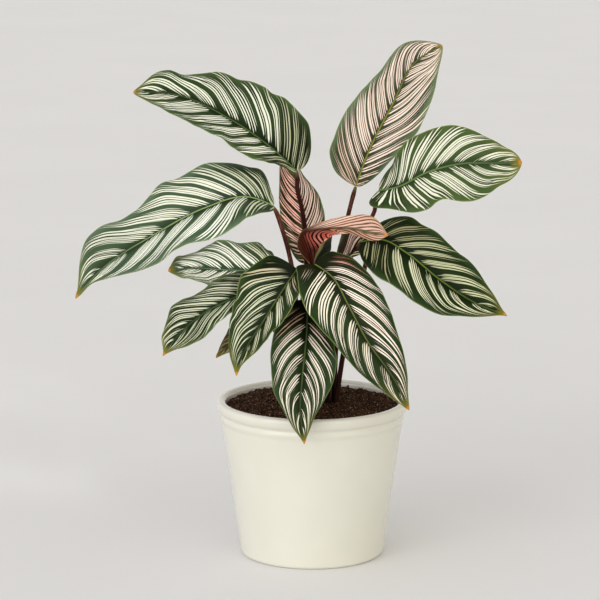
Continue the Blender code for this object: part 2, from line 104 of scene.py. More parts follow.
@dataclass
class Leaf:
    """One leaf, in millimetres. Left and right are seen from its upper side, tip up."""

    midrib: list  # base to tip
    faces: list  # where the upper side looks, base to tip
    fold: tuple  # degrees that each half rises from flat, base to tip
    left: tuple  # half-widths at WIDTH_AT, before the rounding to base and tip
    right: tuple
    stem: list  # points from above the soil to below the neck
    root: tuple  # x and y in the soil
    wave: tuple = (1.0, 2.0, 0.1, 0.4)  # height, waves along the edge, start left and right
    lobe: tuple = (0.0, 0.0)  # how far the base reaches back, left and right
    stiff: float = 0.3  # how far the cross lines keep to the whole leaf's direction
    seat: float = 1.7  # how far under the blade its stem ends


@dataclass
class Look:
    """How one leaf is coloured. Colours are 0 to 255, as seen on a screen."""

    left: tuple  # stripes on the left half
    right: tuple
    # base is a pink flush on some leaves, and on others a darker copy of the stripes, painted shade. deep is
    # also partly painted shade beside the base.
    base: tuple  # stripes beside the base
    blush_and_shade: tuple  # how far along the midrib strands of the base colour still start, left and right
    deep: tuple  # between the stripes, beside the base and the midrib
    dark: tuple  # between the stripes, further on
    green: tuple  # along the edge
    rib: tuple  # the line along the midrib
    line: tuple  # the thin lines between strands
    tip: float  # length of the dry tip
    sweeps: tuple  # of the veins, left and right: see vein_starts
    stripes: tuple  # where along the midrib the dark bands start, left and right
    pale: float = 0.6  # share of the pattern that is pale
    rim: float = 0.97  # share of the half-width that it covers
    reach: float = 0.93  # share of the length that it covers
    start: float = -0.05  # share of the length before its first strands
    gap: float = 0.1  # width of these lines
    fade: float = 0.2  # how much narrower the pale bands are beside the tip
    strand: float = 4.3  # millimetres between two strands where they leave the midrib
    away: float = 1.0  # how far from the midrib they start, against the usual distance


LEAVES = {
    "top_left": Leaf(
        midrib=[(-15, -6, 389), (-45, -18, 418), (-84, -28, 446), (-130, -32, 468), (-175, -30, 471)],
        faces=[(0.1, -0.8, 0.55), (0, -0.75, 0.66), (-0.1, -0.75, 0.66)], fold=(20, 24, 14),
        left=(21, 14, 15, 27, 34, 34, 42, 37, 37, 47, 47, 41, 43, 40),
        right=(46, 54, 56, 49, 51, 45, 42, 42, 42, 34, 33, 44, 46, 37),
        stem=[(-6, 3, 299), (-8, 1, 336), (-11, -1, 354), (-15, -3, 372)], root=(-6, 4),
        wave=(4.5, 4.2, 0.3, 0.45), lobe=(0, 22), stiff=0.15,
    ),
    "mid_left": Leaf(
        midrib=[
            (-38, -10, 355), (-65, -20, 366), (-106, -34, 357), (-156, -46, 332), (-205, -56, 301),
            (-232, -60, 272),
        ],
        faces=[(0.1, -0.7, 0.7), (-0.05, -0.72, 0.7), (-0.25, -0.75, 0.6)], fold=(22, 24, 14),
        left=(38, 40, 42, 45, 56, 56, 45, 45, 49, 47, 45, 30, 9, 14),
        right=(33, 51, 45, 42, 42, 40, 40, 34, 35, 38, 49, 56, 43, 21),
        stem=[(-16, -4, 250), (-19, -10, 286), (-25, -10, 315), (-32, -9, 338)], root=(-15, 0),
        wave=(3.5, 4.0, 0.1, 0.3), stiff=0.2,
    ),
    "small_left": Leaf(
        midrib=[(-35, 10, 288), (-64, 7, 287), (-92, 2, 289), (-120, -6, 292), (-143, -14, 291)],
        faces=[(0, -0.62, 0.78), (-0.1, -0.62, 0.78), (-0.1, -0.65, 0.75)], fold=(18, 18, 10),
        left=(13, 18, 23, 28, 30, 32, 33, 34, 36, 41, 35, 29, 36, 35),
        right=(53, 41, 41, 35, 30, 32, 35, 33, 29, 27, 26, 28, 35, 30),
        stem=[(-25, 4, 200), (-25, 6, 250), (-27, 9, 274)], root=(-25, 3), wave=(2.5, 3.0, 0.2, 0.5),
    ),
    "low_left": Leaf(
        midrib=[(-50, -42, 283), (-76, -54, 272), (-107, -68, 258), (-128, -78, 242), (-146, -84, 220)],
        faces=[(-0.1, -0.6, 0.8), (-0.2, -0.62, 0.75), (-0.35, -0.7, 0.6)], fold=(14, 12, 8),
        left=(13, 15, 17, 18, 19, 21, 24, 24, 28, 35, 37, 32, 22, 15),
        right=(45, 41, 36, 32, 28, 25, 24, 26, 29, 33, 32, 31, 31, 13),
        stem=[(-17, -16, 190), (-22, -22, 240), (-34, -32, 275)], root=(-16, -14),
        wave=(2.0, 3.0, 0.0, 0.3),
    ),
    "under_left": Leaf(
        midrib=[(-50, -20, 244), (-65, -34, 235), (-79, -46, 226), (-95, -56, 212)],
        faces=[(-0.2, -0.5, 0.85), (-0.2, -0.5, 0.85), (-0.2, -0.55, 0.8)], fold=(14, 10, 6),
        left=(5, 7, 10, 13, 16, 19, 22, 23, 23, 21, 17, 13, 10, 9),
        right=(37, 31, 25, 20, 18, 16, 15, 14, 13, 12, 12, 10, 8, 9),
        stem=[(-26, -8, 190), (-34, -12, 225)], root=(-24, -7), wave=(1.0, 2.0, 0.0, 0.3),
    ),
    "front_left": Leaf(
        midrib=[(-15, -52, 300), (-33, -72, 276), (-50, -88, 251), (-65, -99, 229), (-74, -106, 205)],
        faces=[(-0.4, -0.7, 0.6), (-0.5, -0.75, 0.45), (-0.45, -0.8, 0.4)], fold=(22, 26, 16),
        left=(7, 14, 21, 29, 35, 37, 36, 33, 28, 30, 28, 19, 9, 4),
        right=(75, 61, 51, 46, 44, 41, 37, 35, 33, 33, 30, 28, 24, 19),
        stem=[(-9, -20, 200), (-10, -28, 260), (-9, -42, 298)], root=(-8, -17), wave=(1.5, 3.0, 0.2, 0.5),
        lobe=(0, 16),
    ),
    "front_middle": Leaf(
        midrib=[(-5, -46, 268), (-6, -70, 238), (-10, -93, 201), (-12, -108, 171), (-8, -118, 140)],
        faces=[(0, -0.75, 0.66), (0, -0.85, 0.5), (0, -0.95, 0.3)], fold=(14, 14, 8),
        left=(20, 21, 23, 25, 28, 30, 33, 34, 34, 32, 29, 24, 21, 15),
        right=(38, 37, 36, 35, 34, 34, 34, 33, 33, 33, 27, 23, 20, 13),
        stem=[(1, -22, 200), (0, -28, 245)], root=(1, -20), wave=(1.5, 3.0, 0.0, 0.4),
    ),
    "front_right": Leaf(
        midrib=[
            (2, -44, 303), (19, -58, 293), (34, -78, 270), (53, -98, 237), (79, -114, 202),
            (93, -120, 174),
        ],
        faces=[(0.2, -0.7, 0.7), (0.25, -0.8, 0.5), (0.2, -0.9, 0.35)], fold=(16, 14, 8),
        left=(55, 42, 39, 37, 36, 35, 35, 35, 33, 31, 28, 24, 18, 14),
        right=(57, 49, 53, 55, 52, 47, 42, 38, 36, 35, 35, 33, 29, 23),
        stem=[(10, -20, 200), (9, -28, 270)], root=(10, -17), wave=(1.5, 3.0, 0.2, 0.6), lobe=(12, 36),
    ),
    "right": Leaf(
        midrib=[
            (47, -10, 319), (71, -16, 322), (92, -22, 311), (126, -32, 285), (160, -42, 264),
            (191, -50, 253),
        ],
        faces=[(0, -0.8, 0.6), (0.05, -0.82, 0.55), (0.1, -0.85, 0.5)], fold=(14, 12, 8),
        left=(14, 20, 27, 37, 34, 34, 34, 35, 37, 38, 37, 36, 32, 20),
        right=(59, 57, 53, 49, 46, 41, 39, 40, 41, 40, 31, 26, 20, 10),
        stem=[(36, -7, 230), (46, -6, 265), (52, -5, 292), (53, -4, 303)], root=(24, -7),
        wave=(2.0, 3.0, 0.1, 0.4),
    ),
    "upper_right": Leaf(
        midrib=[
            (66, 8, 368), (83, 2, 372), (115, -6, 389), (148, -12, 398), (179, -16, 399), (206, -18, 400),
        ],
        faces=[(0, -0.85, 0.5), (0, -0.9, 0.42), (0.05, -0.9, 0.42)], fold=(16, 10, 6),
        left=(26, 29, 31, 34, 36, 38, 40, 42, 42, 40, 39, 40, 40, 49),
        right=(39, 35, 31, 38, 39, 37, 34, 39, 45, 50, 51, 46, 52, 61),
        stem=[(31, 10, 268), (41, 14, 307), (51, 16, 327), (62, 16, 346)], root=(22, 3),
        wave=(2.0, 3.0, 0.3, 0.1), lobe=(0, 44), seat=2.3,
    ),
    "top_right": Leaf(
        midrib=[(43, 14, 371), (59, 26, 411), (80, 38, 450), (103, 50, 491), (130, 58, 507)],
        faces=[(-0.1, -0.95, 0.3), (-0.1, -0.95, 0.3), (-0.1, -0.9, 0.4)], fold=(16, 12, 8),
        left=(63, 55, 50, 43, 40, 38, 36, 35, 33, 30, 33, 41, 44, 42),
        right=(22, 24, 26, 28, 31, 33, 37, 38, 40, 43, 46, 49, 49, 47),
        stem=[(22, 8, 268), (27, 10, 307), (32, 11, 326), (37, 12, 348)], root=(14, 6),
        wave=(1.5, 3.0, 0.1, 0.4),
    ),
    "back_middle": Leaf(
        midrib=[(-5, 18, 292), (-9, 24, 323), (-12, 29, 355), (-20, 34, 389), (-31, 38, 418)],
        faces=[(0, -0.97, 0.25), (0, -0.97, 0.25), (0, -0.97, 0.25)], fold=(20, 18, 10),
        left=(23, 22, 21, 22, 22, 23, 23, 23, 22, 21, 20, 19, 18, 18),
        right=(17, 19, 21, 23, 24, 24, 22, 20, 15, 10, 9, 8, 7, 6), stem=[(0, 15, 200), (-2, 17, 250)],
        root=(2, 13),
    ),
    "back_right": Leaf(
        midrib=[(32, 2, 297), (39, 3, 305), (47, 5, 311), (57, 8, 316), (68, 11, 319)],
        faces=[(-0.1, -0.98, 0.15), (0, -0.98, 0.15), (0, -0.98, 0.15)], fold=(12, 12, 8),
        left=(21, 21, 20, 19, 20, 23, 26, 27, 27, 27, 27, 27, 27, 27),
        right=(6, 6, 4, 4, 5, 6, 7, 8, 9, 9, 9, 9, 9, 9),
        stem=[(17, -4, 200), (22, -3, 250), (28, -1, 282)], root=(15, -4),
    ),
}

# Each leaf's colours are set half by half so that it looks as it does where it stands. So besides the leaf's
# own colours they hold painted light and shade: right is painted darker for the shade it stands in, and
# small_left and back_middle are painted lighter against the shadows that other leaves cast on them.
LOOKS = {
    "top_left": Look(
        left=(250, 252, 232), right=(238, 243, 220), base=(184, 186, 152), blush_and_shade=(0.18, 0.18),
        deep=(12, 16, 5), dark=(47, 66, 33), green=(66, 87, 50), rib=(84, 110, 56), tip=4,
        sweeps=((0.19, 0.1, 0.55, 0.5), (0.32, 0.04, 0.5, 0.5)),
        stripes=(
            (-0.07, 0.03, 0.13, 0.23, 0.31, 0.41, 0.54, 0.72, 0.88),
            (-0.05, 0.01, 0.06, 0.12, 0.18, 0.265, 0.37, 0.5, 0.66, 0.775, 0.895),
        ),
        pale=0.62, reach=0.97, line=(26, 34, 18), gap=0.12, fade=-0.04, strand=4.0, away=0.65,
    ),
    "mid_left": Look(
        left=(234, 238, 222), right=(224, 226, 206), base=(196, 201, 170), blush_and_shade=(0.15, 0.15),
        deep=(21, 34, 14), dark=(61, 82, 56), green=(84, 104, 80), rib=(134, 158, 100), tip=6,
        sweeps=((0.25, 0.085, 0.15, 0.3), (0.28, 0.063, 0.39, 0.5)),
        stripes=(
            (0.0, 0.095, 0.2, 0.33, 0.466, 0.63, 0.88),
            (-0.04, 0.03, 0.094, 0.146, 0.202, 0.266, 0.346, 0.466, 0.66, 0.78, 0.9),
        ),
        pale=0.68, rim=0.99, line=(46, 60, 40), gap=0.05, fade=0.18, away=0.75,
    ),
    "small_left": Look(
        left=(250, 250, 232), right=(250, 252, 234), base=(221, 223, 189), blush_and_shade=(0.12, 0.12),
        deep=(29, 49, 22), dark=(67, 90, 65), green=(100, 121, 86), rib=(104, 130, 96), tip=4,
        sweeps=((0.236, 0.237, 0.3, 0.5), (0.37, 0.075, 0.58, 0.5)),
        stripes=(
            (0.05, 0.15, 0.25, 0.34, 0.414, 0.5, 0.642, 0.85),
            (-0.16, -0.05, 0.058, 0.174, 0.334, 0.442, 0.6, 0.806),
        ),
        pale=0.7, reach=0.9, line=(56, 68, 48), gap=0.05, fade=0.0, away=0.75,
    ),
    "low_left": Look(
        left=(190, 196, 166), right=(208, 211, 184), base=(202, 203, 176), blush_and_shade=(0.18, 0.18),
        deep=(29, 41, 16), dark=(24, 37, 17), green=(72, 87, 60), rib=(64, 86, 50), tip=5,
        sweeps=((0.468, 0.259, -0.16, 0.5), (0.322, 0.029, 1.0, 0.5)),
        stripes=(
            (0.0, 0.09, 0.178, 0.24, 0.306, 0.4, 0.494, 0.63, 0.798),
            (-0.25, -0.12, -0.02, 0.08, 0.16, 0.246, 0.33, 0.42, 0.5, 0.6, 0.675, 0.79, 0.89),
        ),
        pale=0.58, rim=0.96, line=(28, 38, 18), fade=0.05,
    ),
    "under_left": Look(
        left=(184, 164, 136), right=(172, 156, 122), base=(140, 110, 86), blush_and_shade=(0.18, 0.18),
        deep=(70, 58, 38), dark=(94, 86, 48), green=(79, 82, 48), rib=(104, 124, 52), tip=4,
        sweeps=((0.25, 0.1, 0.4, 0.5), (0.25, 0.1, 0.4, 0.5)),
        stripes=((-0.05, 0.1, 0.25, 0.4, 0.55, 0.7, 0.85), (-0.05, 0.1, 0.25, 0.4, 0.55, 0.7, 0.85)),
        rim=0.94, reach=0.95, line=(50, 40, 24), gap=0.07, fade=0.12,
    ),
    "front_left": Look(
        left=(218, 219, 187), right=(194, 198, 168), base=(186, 170, 138), blush_and_shade=(0.1, 0.1),
        deep=(12, 17, 5), dark=(30, 47, 17), green=(39, 59, 23), rib=(82, 96, 44), tip=5,
        sweeps=((0.275, 0.0, 0.9, 0.5), (0.5, 0.295, 0.12, 0.3)),
        stripes=(
            (-0.17, -0.05, 0.066, 0.206, 0.366, 0.506, 0.666, 0.794),
            (0.02, 0.06, 0.106, 0.18, 0.262, 0.37, 0.5, 0.6, 0.69, 0.83),
        ),
        pale=0.55, rim=0.92, start=0.06, line=(24, 26, 12), strand=3.8,
    ),
    "front_middle": Look(
        left=(250, 240, 222), right=(246, 237, 219), base=(206, 172, 146), blush_and_shade=(0.2, 0.2),
        deep=(10, 8, 2), dark=(42, 60, 26), green=(48, 70, 39), rib=(76, 98, 56), tip=4.5,
        sweeps=((0.335, 0.128, 0.25, 0.5), (0.26, 0.217, 0.42, 0.5)),
        stripes=(
            (0.03, 0.122, 0.206, 0.298, 0.398, 0.474, 0.558, 0.706, 0.814),
            (-0.04, 0.046, 0.138, 0.234, 0.342, 0.474, 0.61, 0.71, 0.866),
        ),
        pale=0.58, rim=0.93, start=0.06, line=(28, 36, 18),
    ),
    "front_right": Look(
        left=(255, 240, 224), right=(246, 238, 216), base=(226, 144, 118), blush_and_shade=(0.04, 0.0),
        deep=(18, 19, 5), dark=(44, 61, 31), green=(32, 53, 21), rib=(106, 117, 58), tip=5.5,
        sweeps=((0.387, 0.184, 0.466, 0.5), (0.217, 0.103, 0.55, 0.3)),
        stripes=(
            (-0.066, 0.018, 0.098, 0.178, 0.274, 0.414, 0.526, 0.638, 0.754, 0.858),
            (-0.09, 0.04, 0.126, 0.218, 0.282, 0.362, 0.5, 0.638, 0.822),
        ),
        rim=0.95, reach=0.95, start=0.05, line=(26, 32, 18), fade=0.22,
    ),
    "right": Look(
        left=(212, 216, 172), right=(232, 234, 198), base=(156, 154, 112), blush_and_shade=(0.26, 0.26),
        deep=(9, 16, 2), dark=(27, 44, 11), green=(44, 64, 31), rib=(100, 124, 50), tip=5.5,
        sweeps=((0.34, 0.094, 0.31, 0.5), (0.25, 0.24, -0.09, 0.5)),
        stripes=(
            (0.0, 0.078, 0.154, 0.206, 0.266, 0.338, 0.454, 0.61, 0.742, 0.874),
            (0.03, 0.07, 0.142, 0.194, 0.274, 0.41, 0.5, 0.574, 0.706, 0.878),
        ),
        pale=0.52, rim=0.92, reach=0.92, line=(18, 24, 6), gap=0.08, strand=3.5,
    ),
    "upper_right": Look(
        left=(240, 241, 218), right=(236, 238, 214), base=(218, 213, 189), blush_and_shade=(0.07, 0.07),
        deep=(36, 52, 28), dark=(70, 90, 48), green=(76, 97, 47), rib=(104, 132, 74), tip=5.5,
        sweeps=((0.366, 0.01, 0.33, 0.5), (0.4, 0.16, -0.05, 0.75)),
        stripes=(
            (-0.03, 0.094, 0.182, 0.27, 0.366, 0.482, 0.63, 0.79),
            (0.04, 0.085, 0.145, 0.225, 0.33, 0.46, 0.6, 0.71, 0.86),
        ),
        pale=0.64, rim=0.98, reach=0.97, line=(44, 56, 28), gap=0.06, fade=0.12, strand=3.4, away=0.8,
    ),
    "top_right": Look(
        left=(255, 232, 218), right=(248, 228, 212), base=(216, 188, 167), blush_and_shade=(0.09, 0.09),
        deep=(44, 50, 30), dark=(72, 82, 60), green=(103, 124, 90), rib=(132, 134, 52), tip=3,
        sweeps=((0.243, 0.079, 0.88, 0.5), (0.29, 0.297, 0.07, 0.5)),
        stripes=(
            (-0.17, -0.06, 0.046, 0.11, 0.174, 0.286, 0.378, 0.49, 0.586, 0.686, 0.802),
            (0.03, 0.075, 0.122, 0.186, 0.266, 0.358, 0.44, 0.518, 0.626, 0.802),
        ),
        pale=0.72, rim=0.96, reach=1.0, line=(66, 62, 44), fade=-0.04, away=0.35,
    ),
    "back_middle": Look(
        left=(255, 198, 180), right=(244, 214, 196), base=(244, 214, 196), blush_and_shade=(0.2, 0.1),
        deep=(88, 82, 46), dark=(38, 29, 12), green=(63, 79, 43), rib=(56, 26, 18), tip=3,
        sweeps=((0.2, 0.1, 0.0, 0.5), (0.294, 0.067, 1.0, 0.5)),
        stripes=(
            (0.05, 0.134, 0.19, 0.278, 0.366, 0.454, 0.558, 0.658, 0.78),
            (-0.1, 0.0, 0.118, 0.2, 0.286, 0.37, 0.458, 0.54, 0.622, 0.75),
        ),
        pale=0.68, rim=0.98, reach=1.0, line=(46, 22, 14), gap=0.08, fade=0.06, strand=3.6, away=0.6,
    ),
    "back_right": Look(
        left=(250, 214, 196), right=(250, 238, 196), base=(64, 44, 38), blush_and_shade=(-0.42, -0.3),
        deep=(30, 20, 16), dark=(48, 42, 30), green=(84, 92, 58), rib=(60, 52, 34), tip=3,
        sweeps=((1.3, 0.2, 1.0, 0.3), (0.4, 0.1, 0.4, 0.5)),
        stripes=(
            (-1.1, -0.95, -0.8, -0.66, -0.52, -0.36, -0.2, -0.02, 0.2, 0.42, 0.66),
            (-0.05, 0.08, 0.2, 0.33, 0.47, 0.62, 0.8),
        ),
        reach=0.95, line=(26, 18, 14), gap=0.07, fade=0.12,
    ),
}

# The young leaf, still furled at its base: five lines that run from base to tip, as in the model, and a
# base that lies a few millimetres lower
FURLED_ROOT = (2, -6)
FURLED_STEM = [(2, -8, 200), (0, -11, 270), (-1, -14, 292)]
FURLED_SPAN = (0.03, 0.975)
FURLED_BASE = (1, -18, 296)
FURLED_TIP = (74, -44, 332)
FURLED_LINES = {
    "outer": [
        (-13, -24, 313), (-14, -30, 325), (-8, -34, 336), (12, -37, 345), (37, -39, 351), (59, -42, 350),
    ],
    "midrib": [
        (-10, -19, 312), (-11, -24, 324), (-5, -31, 333), (15, -38, 338), (37, -43, 339), (56, -45, 335),
    ],
    "wall": [(-2, -8, 308), (-1, -10, 318), (3, -17, 326), (17, -31, 334), (37, -39, 337), (57, -44, 332)],
    "turn": [(9, -16, 304), (17, -20, 312), (18, -23, 323), (21, -29, 332), (37, -36, 334), (58, -43, 329)],
    "rim": [(2, -27, 307), (6, -33, 317), (11, -36, 325), (22, -35, 331), (38, -33, 331), (60, -42, 326)],
}
FURLED_CREASE = 0.25  # where across the young leaf its crease lies
FURLED_SWEEP = (0.34, 0.08, 1.0, 0.5)  # of the strokes before the crease: see vein_starts
FURLED_STROKES = 12.0  # from base to tip
FURLED_ARCS = 9.0  # strokes round the hollow at the base


# Curves and surfaces


def unit(vectors):
    """Vectors of length one."""
    return vectors / np.maximum(np.linalg.norm(vectors, axis=-1, keepdims=True), 1e-9)


def hermite(values, knots, at):
    """A smooth curve through values at knots, read at the places in at."""
    values = np.asarray(values, float)
    flat = values.reshape(len(values), -1)
    gaps = np.diff(knots)
    secants = np.diff(flat, axis=0) / gaps[:, None]
    slopes = np.empty_like(flat)
    inner = secants[:-1] * gaps[1:, None] + secants[1:] * gaps[:-1, None]
    slopes[1:-1] = inner / (gaps[1:] + gaps[:-1])[:, None]
    slopes[0] = 1.5 * secants[0] - 0.5 * slopes[1]
    slopes[-1] = 1.5 * secants[-1] - 0.5 * slopes[-2]
    at = np.clip(np.asarray(at, float), knots[0], knots[-1])
    i = np.clip(np.searchsorted(knots, at, side="right") - 1, 0, len(gaps) - 1)
    h = gaps[i][:, None]
    f = ((at - knots[i]) / gaps[i])[:, None]
    curve = (2 * f**3 - 3 * f**2 + 1) * flat[i]
    curve += (f**3 - 2 * f**2 + f) * h * slopes[i]
    curve += (3 * f**2 - 2 * f**3) * flat[i + 1]
    curve += (f**3 - f**2) * h * slopes[i + 1]
    return curve.reshape((len(at),) + values.shape[1:])


def smooth_path(points, at):
    """A smooth curve through points, read at shares of its length."""
    points = np.asarray(points, float)
    steps = np.linalg.norm(np.diff(points, axis=0), axis=1)
    knots = np.concatenate([[0.0], np.cumsum(steps)]) / steps.sum()
    return hermite(points, knots, at)


def ease(value):
    """Rises smoothly from 0 to 1 as value does."""
    value = np.clip(value, 0.0, 1.0)
    return value * value * (3.0 - 2.0 * value)


def plan(along):
    """A blade's width along its midrib as a share of the widest: round base, pointed tip."""
    along = np.clip(along, 0.0, 1.0)
    return np.minimum(1.0, along**0.5 * (1.0 - along) ** 0.75 / 0.4313)


def leaf_frames(leaf, along):
    """The midrib's points, the directions along and across the blade, and where it faces."""
    step = 0.01
    points = smooth_path(leaf.midrib, along)
    ahead = smooth_path(leaf.midrib, along + step)
    behind = smooth_path(leaf.midrib, along - step)
    whole = unit(np.subtract(leaf.midrib[-1], leaf.midrib[0], dtype=float))
    forward = unit(unit(ahead - behind) * (1.0 - leaf.stiff) + whole * leaf.stiff)
    shares = np.linspace(0.0, 1.0, len(leaf.faces))
    face = hermite(leaf.faces, shares, along)
    face = unit(face - (face * forward).sum(-1, keepdims=True) * forward)
    return points, forward, np.cross(forward, face), face


def half_widths(leaf, along, side):
    """The half-width at each place along the midrib."""
    return hermite(leaf.right if side > 0 else leaf.left, np.array(WIDTH_AT), along) * plan(along)


def half_blade(leaf, along, share, side):
    """Points at one share of the half-width. side is -1 on the left and 1 on the right."""
    points, forward, across, face = leaf_frames(leaf, along)
    width = half_widths(leaf, along, side)
    fold = np.radians(hermite(leaf.fold, np.linspace(0.0, 1.0, len(leaf.fold)), along))
    height, waves, left_start, right_start = leaf.wave
    start = right_start if side > 0 else left_start
    ripple = height * np.sin(math.tau * (waves * along + start)) * share**2.5 * plan(along)
    ripple += FRILL * np.sin(math.tau * (2.7 * waves * along + 2.0 * start)) * share**4 * plan(along)
    lift = share * width * np.sin(fold) + BULGE * width * share * (1.0 - share) + ripple
    reach = share * width * np.cos(fold)
    back = leaf.lobe[1 if side > 0 else 0] * share * plan(along) * np.clip(1.0 - along / 0.25, 0.0, 1.0) ** 2
    return points + across * (side * reach)[:, None] + face * lift[:, None] - forward * back[:, None]


def rows_along(count):
    """Places along a blade, closer together near its base and tip."""
    even = np.linspace(0.0, 1.0, count + 2)[1:-1]
    return 0.25 * even + 0.75 * (0.5 - 0.5 * np.cos(math.pi * even))


def shares_across(count):
    """Places across a blade from -1 to 1, closer together near the midrib."""
    even = np.linspace(-1.0, 1.0, count)
    return np.sign(even) * (0.5 * even**2 + 0.5 * np.abs(even))


def vein_starts(sweep, along, out):
    """Where the vein through each point leaves the midrib. Veins sweep forward to the edge.

    sweep is how far they sweep at first, how much more beside the edge, the share of it at the base,
    and where along the midrib they reach all of it.
    """
    first, more, share, settled = sweep
    starts = np.linspace(-1.2, 1.0, 441)
    reach = (share + (1.0 - share) * ease((starts + 0.05) / settled)) * (1.0 - starts) ** 0.08
    found = np.empty((len(along), len(out)))
    for column, place in enumerate(out):
        ends = starts + reach * (first * place + more * place**3)
        found[:, column] = np.interp(along, np.maximum.accumulate(ends), starts)
    return found


def stripe_counts(starts, stripes, per_length):
    """Counts the dark bands, a whole number in the middle of each, and the strands from band to band."""
    before = stripes[0] - 0.1 * np.arange(4, 0, -1)
    after = stripes[-1] + 0.13 * np.arange(1, 4)
    knots = np.concatenate([before, stripes, after])
    strands = np.concatenate([[0.0], np.cumsum(np.round(1.2 + per_length * np.diff(knots)))])
    return np.interp(starts, knots, np.arange(len(knots), dtype=float)), np.interp(starts, knots, strands)


def line_pitch(grid, lines):
    """The distance from one line to the next at each point of a grid that counts them."""
    down, over = np.gradient(grid, axis=0), np.gradient(grid, axis=1)
    by_down, by_over = np.gradient(lines, axis=0), np.gradient(lines, axis=1)
    a, b, c = (down * down).sum(-1), (down * over).sum(-1), (over * over).sum(-1)
    steep = (c * by_down**2 - 2.0 * b * by_down * by_over + a * by_over**2) / np.maximum(a * c - b * b, 1e-9)
    return 1.0 / np.sqrt(np.maximum(steep, 1e-6))


def sheet_normals(grid):
    """The upper side's direction at each point of a grid."""
    return unit(np.cross(np.gradient(grid, axis=1), np.gradient(grid, axis=0)))


# Shader nodes


def screen(colour):
    """The renderer's linear values of a colour of 0 to 255, as seen on a screen."""
    shares = np.array(colour, float) / 255.0
    linear = np.where(shares <= 0.04045, shares / 12.92, ((shares + 0.055) / 1.055) ** 2.4)
    return np.append(linear, 1.0)


def combined(operation):
    """A method that feeds a number, and what it is combined with, to a math node."""
    return lambda number, *others: number.nodes.math(operation, number, *others)


class Number:
    """A number that nodes work out at each point. Its sums are written plainly."""

    __add__ = combined("ADD")
    __sub__ = combined("SUBTRACT")
    __mul__ = combined("MULTIPLY")
    __truediv__ = combined("DIVIDE")
    __pow__ = combined("POWER")
    __abs__ = combined("ABSOLUTE")

    def __init__(self, nodes, socket):
        self.nodes = nodes
        self.socket = socket


class Nodes:
    """Short calls for building a tree of nodes."""

    def __init__(self, tree):
        self.tree = tree

    def set(self, socket, value):
        """Links a socket to a node's output, or gives it a value."""
        value = value.socket if isinstance(value, Number) else value
        if isinstance(value, bpy.types.NodeSocket):
            self.tree.links.new(value, socket)
        else:
            socket.default_value = value

    def add(self, kind, *values, inputs=None, **settings):
        """Adds a node with its settings, and feeds its first inputs in turn and others by name."""
        node = self.tree.nodes.new(f"ShaderNode{kind}")
        for name, value in settings.items():
            setattr(node, name, value)
        for socket, value in zip(node.inputs, values):
            self.set(socket, value)
        for name, value in (inputs or {}).items():
            self.set(node.inputs[name], value)
        return node

    def value(self, name):
        """A number stored on the mesh."""
        return Number(self, self.add("Attribute", attribute_name=name).outputs["Fac"])

    def place(self):
        """The point's place in the model."""
        return self.add("TexCoord").outputs["Object"]

    def math(self, operation, *values):
        """A number worked out from others."""
        return Number(self, self.add("Math", *values, operation=operation).outputs[0])

    def ramp(self, value, start, end, low=0.0, high=1.0):
        """Goes smoothly from low to high as value goes from start to end."""
        node = self.add("MapRange", value, start, end, low, high, interpolation_type="SMOOTHSTEP")
        return Number(self, node.outputs[0])

    def mix(self, share, first, second):
        """A colour between two. Tuples are as seen on a screen, and arrays hold linear values."""
        first, second = (screen(c) if isinstance(c, tuple) else c for c in (first, second))
        node = self.add("Mix", inputs={"Factor": share, "A": first, "B": second}, data_type="RGBA")
        return node.outputs["Result"]

    def coats(self, colour, *coats):
        """A colour with others over it, one after another, each with its share."""
        for share, coat in coats:
            colour = self.mix(share, colour, coat)
        return colour

    def random(self, value):
        """Three random numbers for each whole number."""
        colour = self.add("TexWhiteNoise", inputs={"W": value}, noise_dimensions="1D").outputs["Color"]
        return [Number(self, part) for part in self.add("SeparateColor", colour).outputs]

    def join(self, x, y, z=0.0):
        """A vector of three numbers."""
        return self.add("CombineXYZ", x, y, z).outputs[0]

    def stretch(self, vector, scale):
        """A vector with each of its parts multiplied."""
        return self.add("VectorMath", vector, scale, operation="MULTIPLY").outputs[0]

    def clouds(self, vector, scale, detail=2.0):
        """Soft noise from 0 to 1."""
        node = self.add("TexNoise", inputs={"Vector": vector, "Scale": scale, "Detail": detail})
        return Number(self, node.outputs["Fac"])

    def bump(self, height, distance=0.0002, strength=1.0):
        """The surface's direction where a height from 0 to 1 raises it by up to distance, in metres."""
        node = self.add("Bump", inputs={"Height": height, "Distance": distance, "Strength": strength})
        return node.outputs["Normal"]


class Shade(Nodes):
    """The nodes of one new material."""

    def __init__(self, name):
        self.material = bpy.data.materials.new(name)
        self.material.use_nodes = True
        super().__init__(self.material.node_tree)

    def finish(self, **inputs):
        """Sets the shader's inputs by name, with _ for spaces."""
        shader = self.tree.nodes["Principled BSDF"]
        for name, value in inputs.items():
            self.set(shader.inputs[name.replace("_", " ")], value)
        return self.material


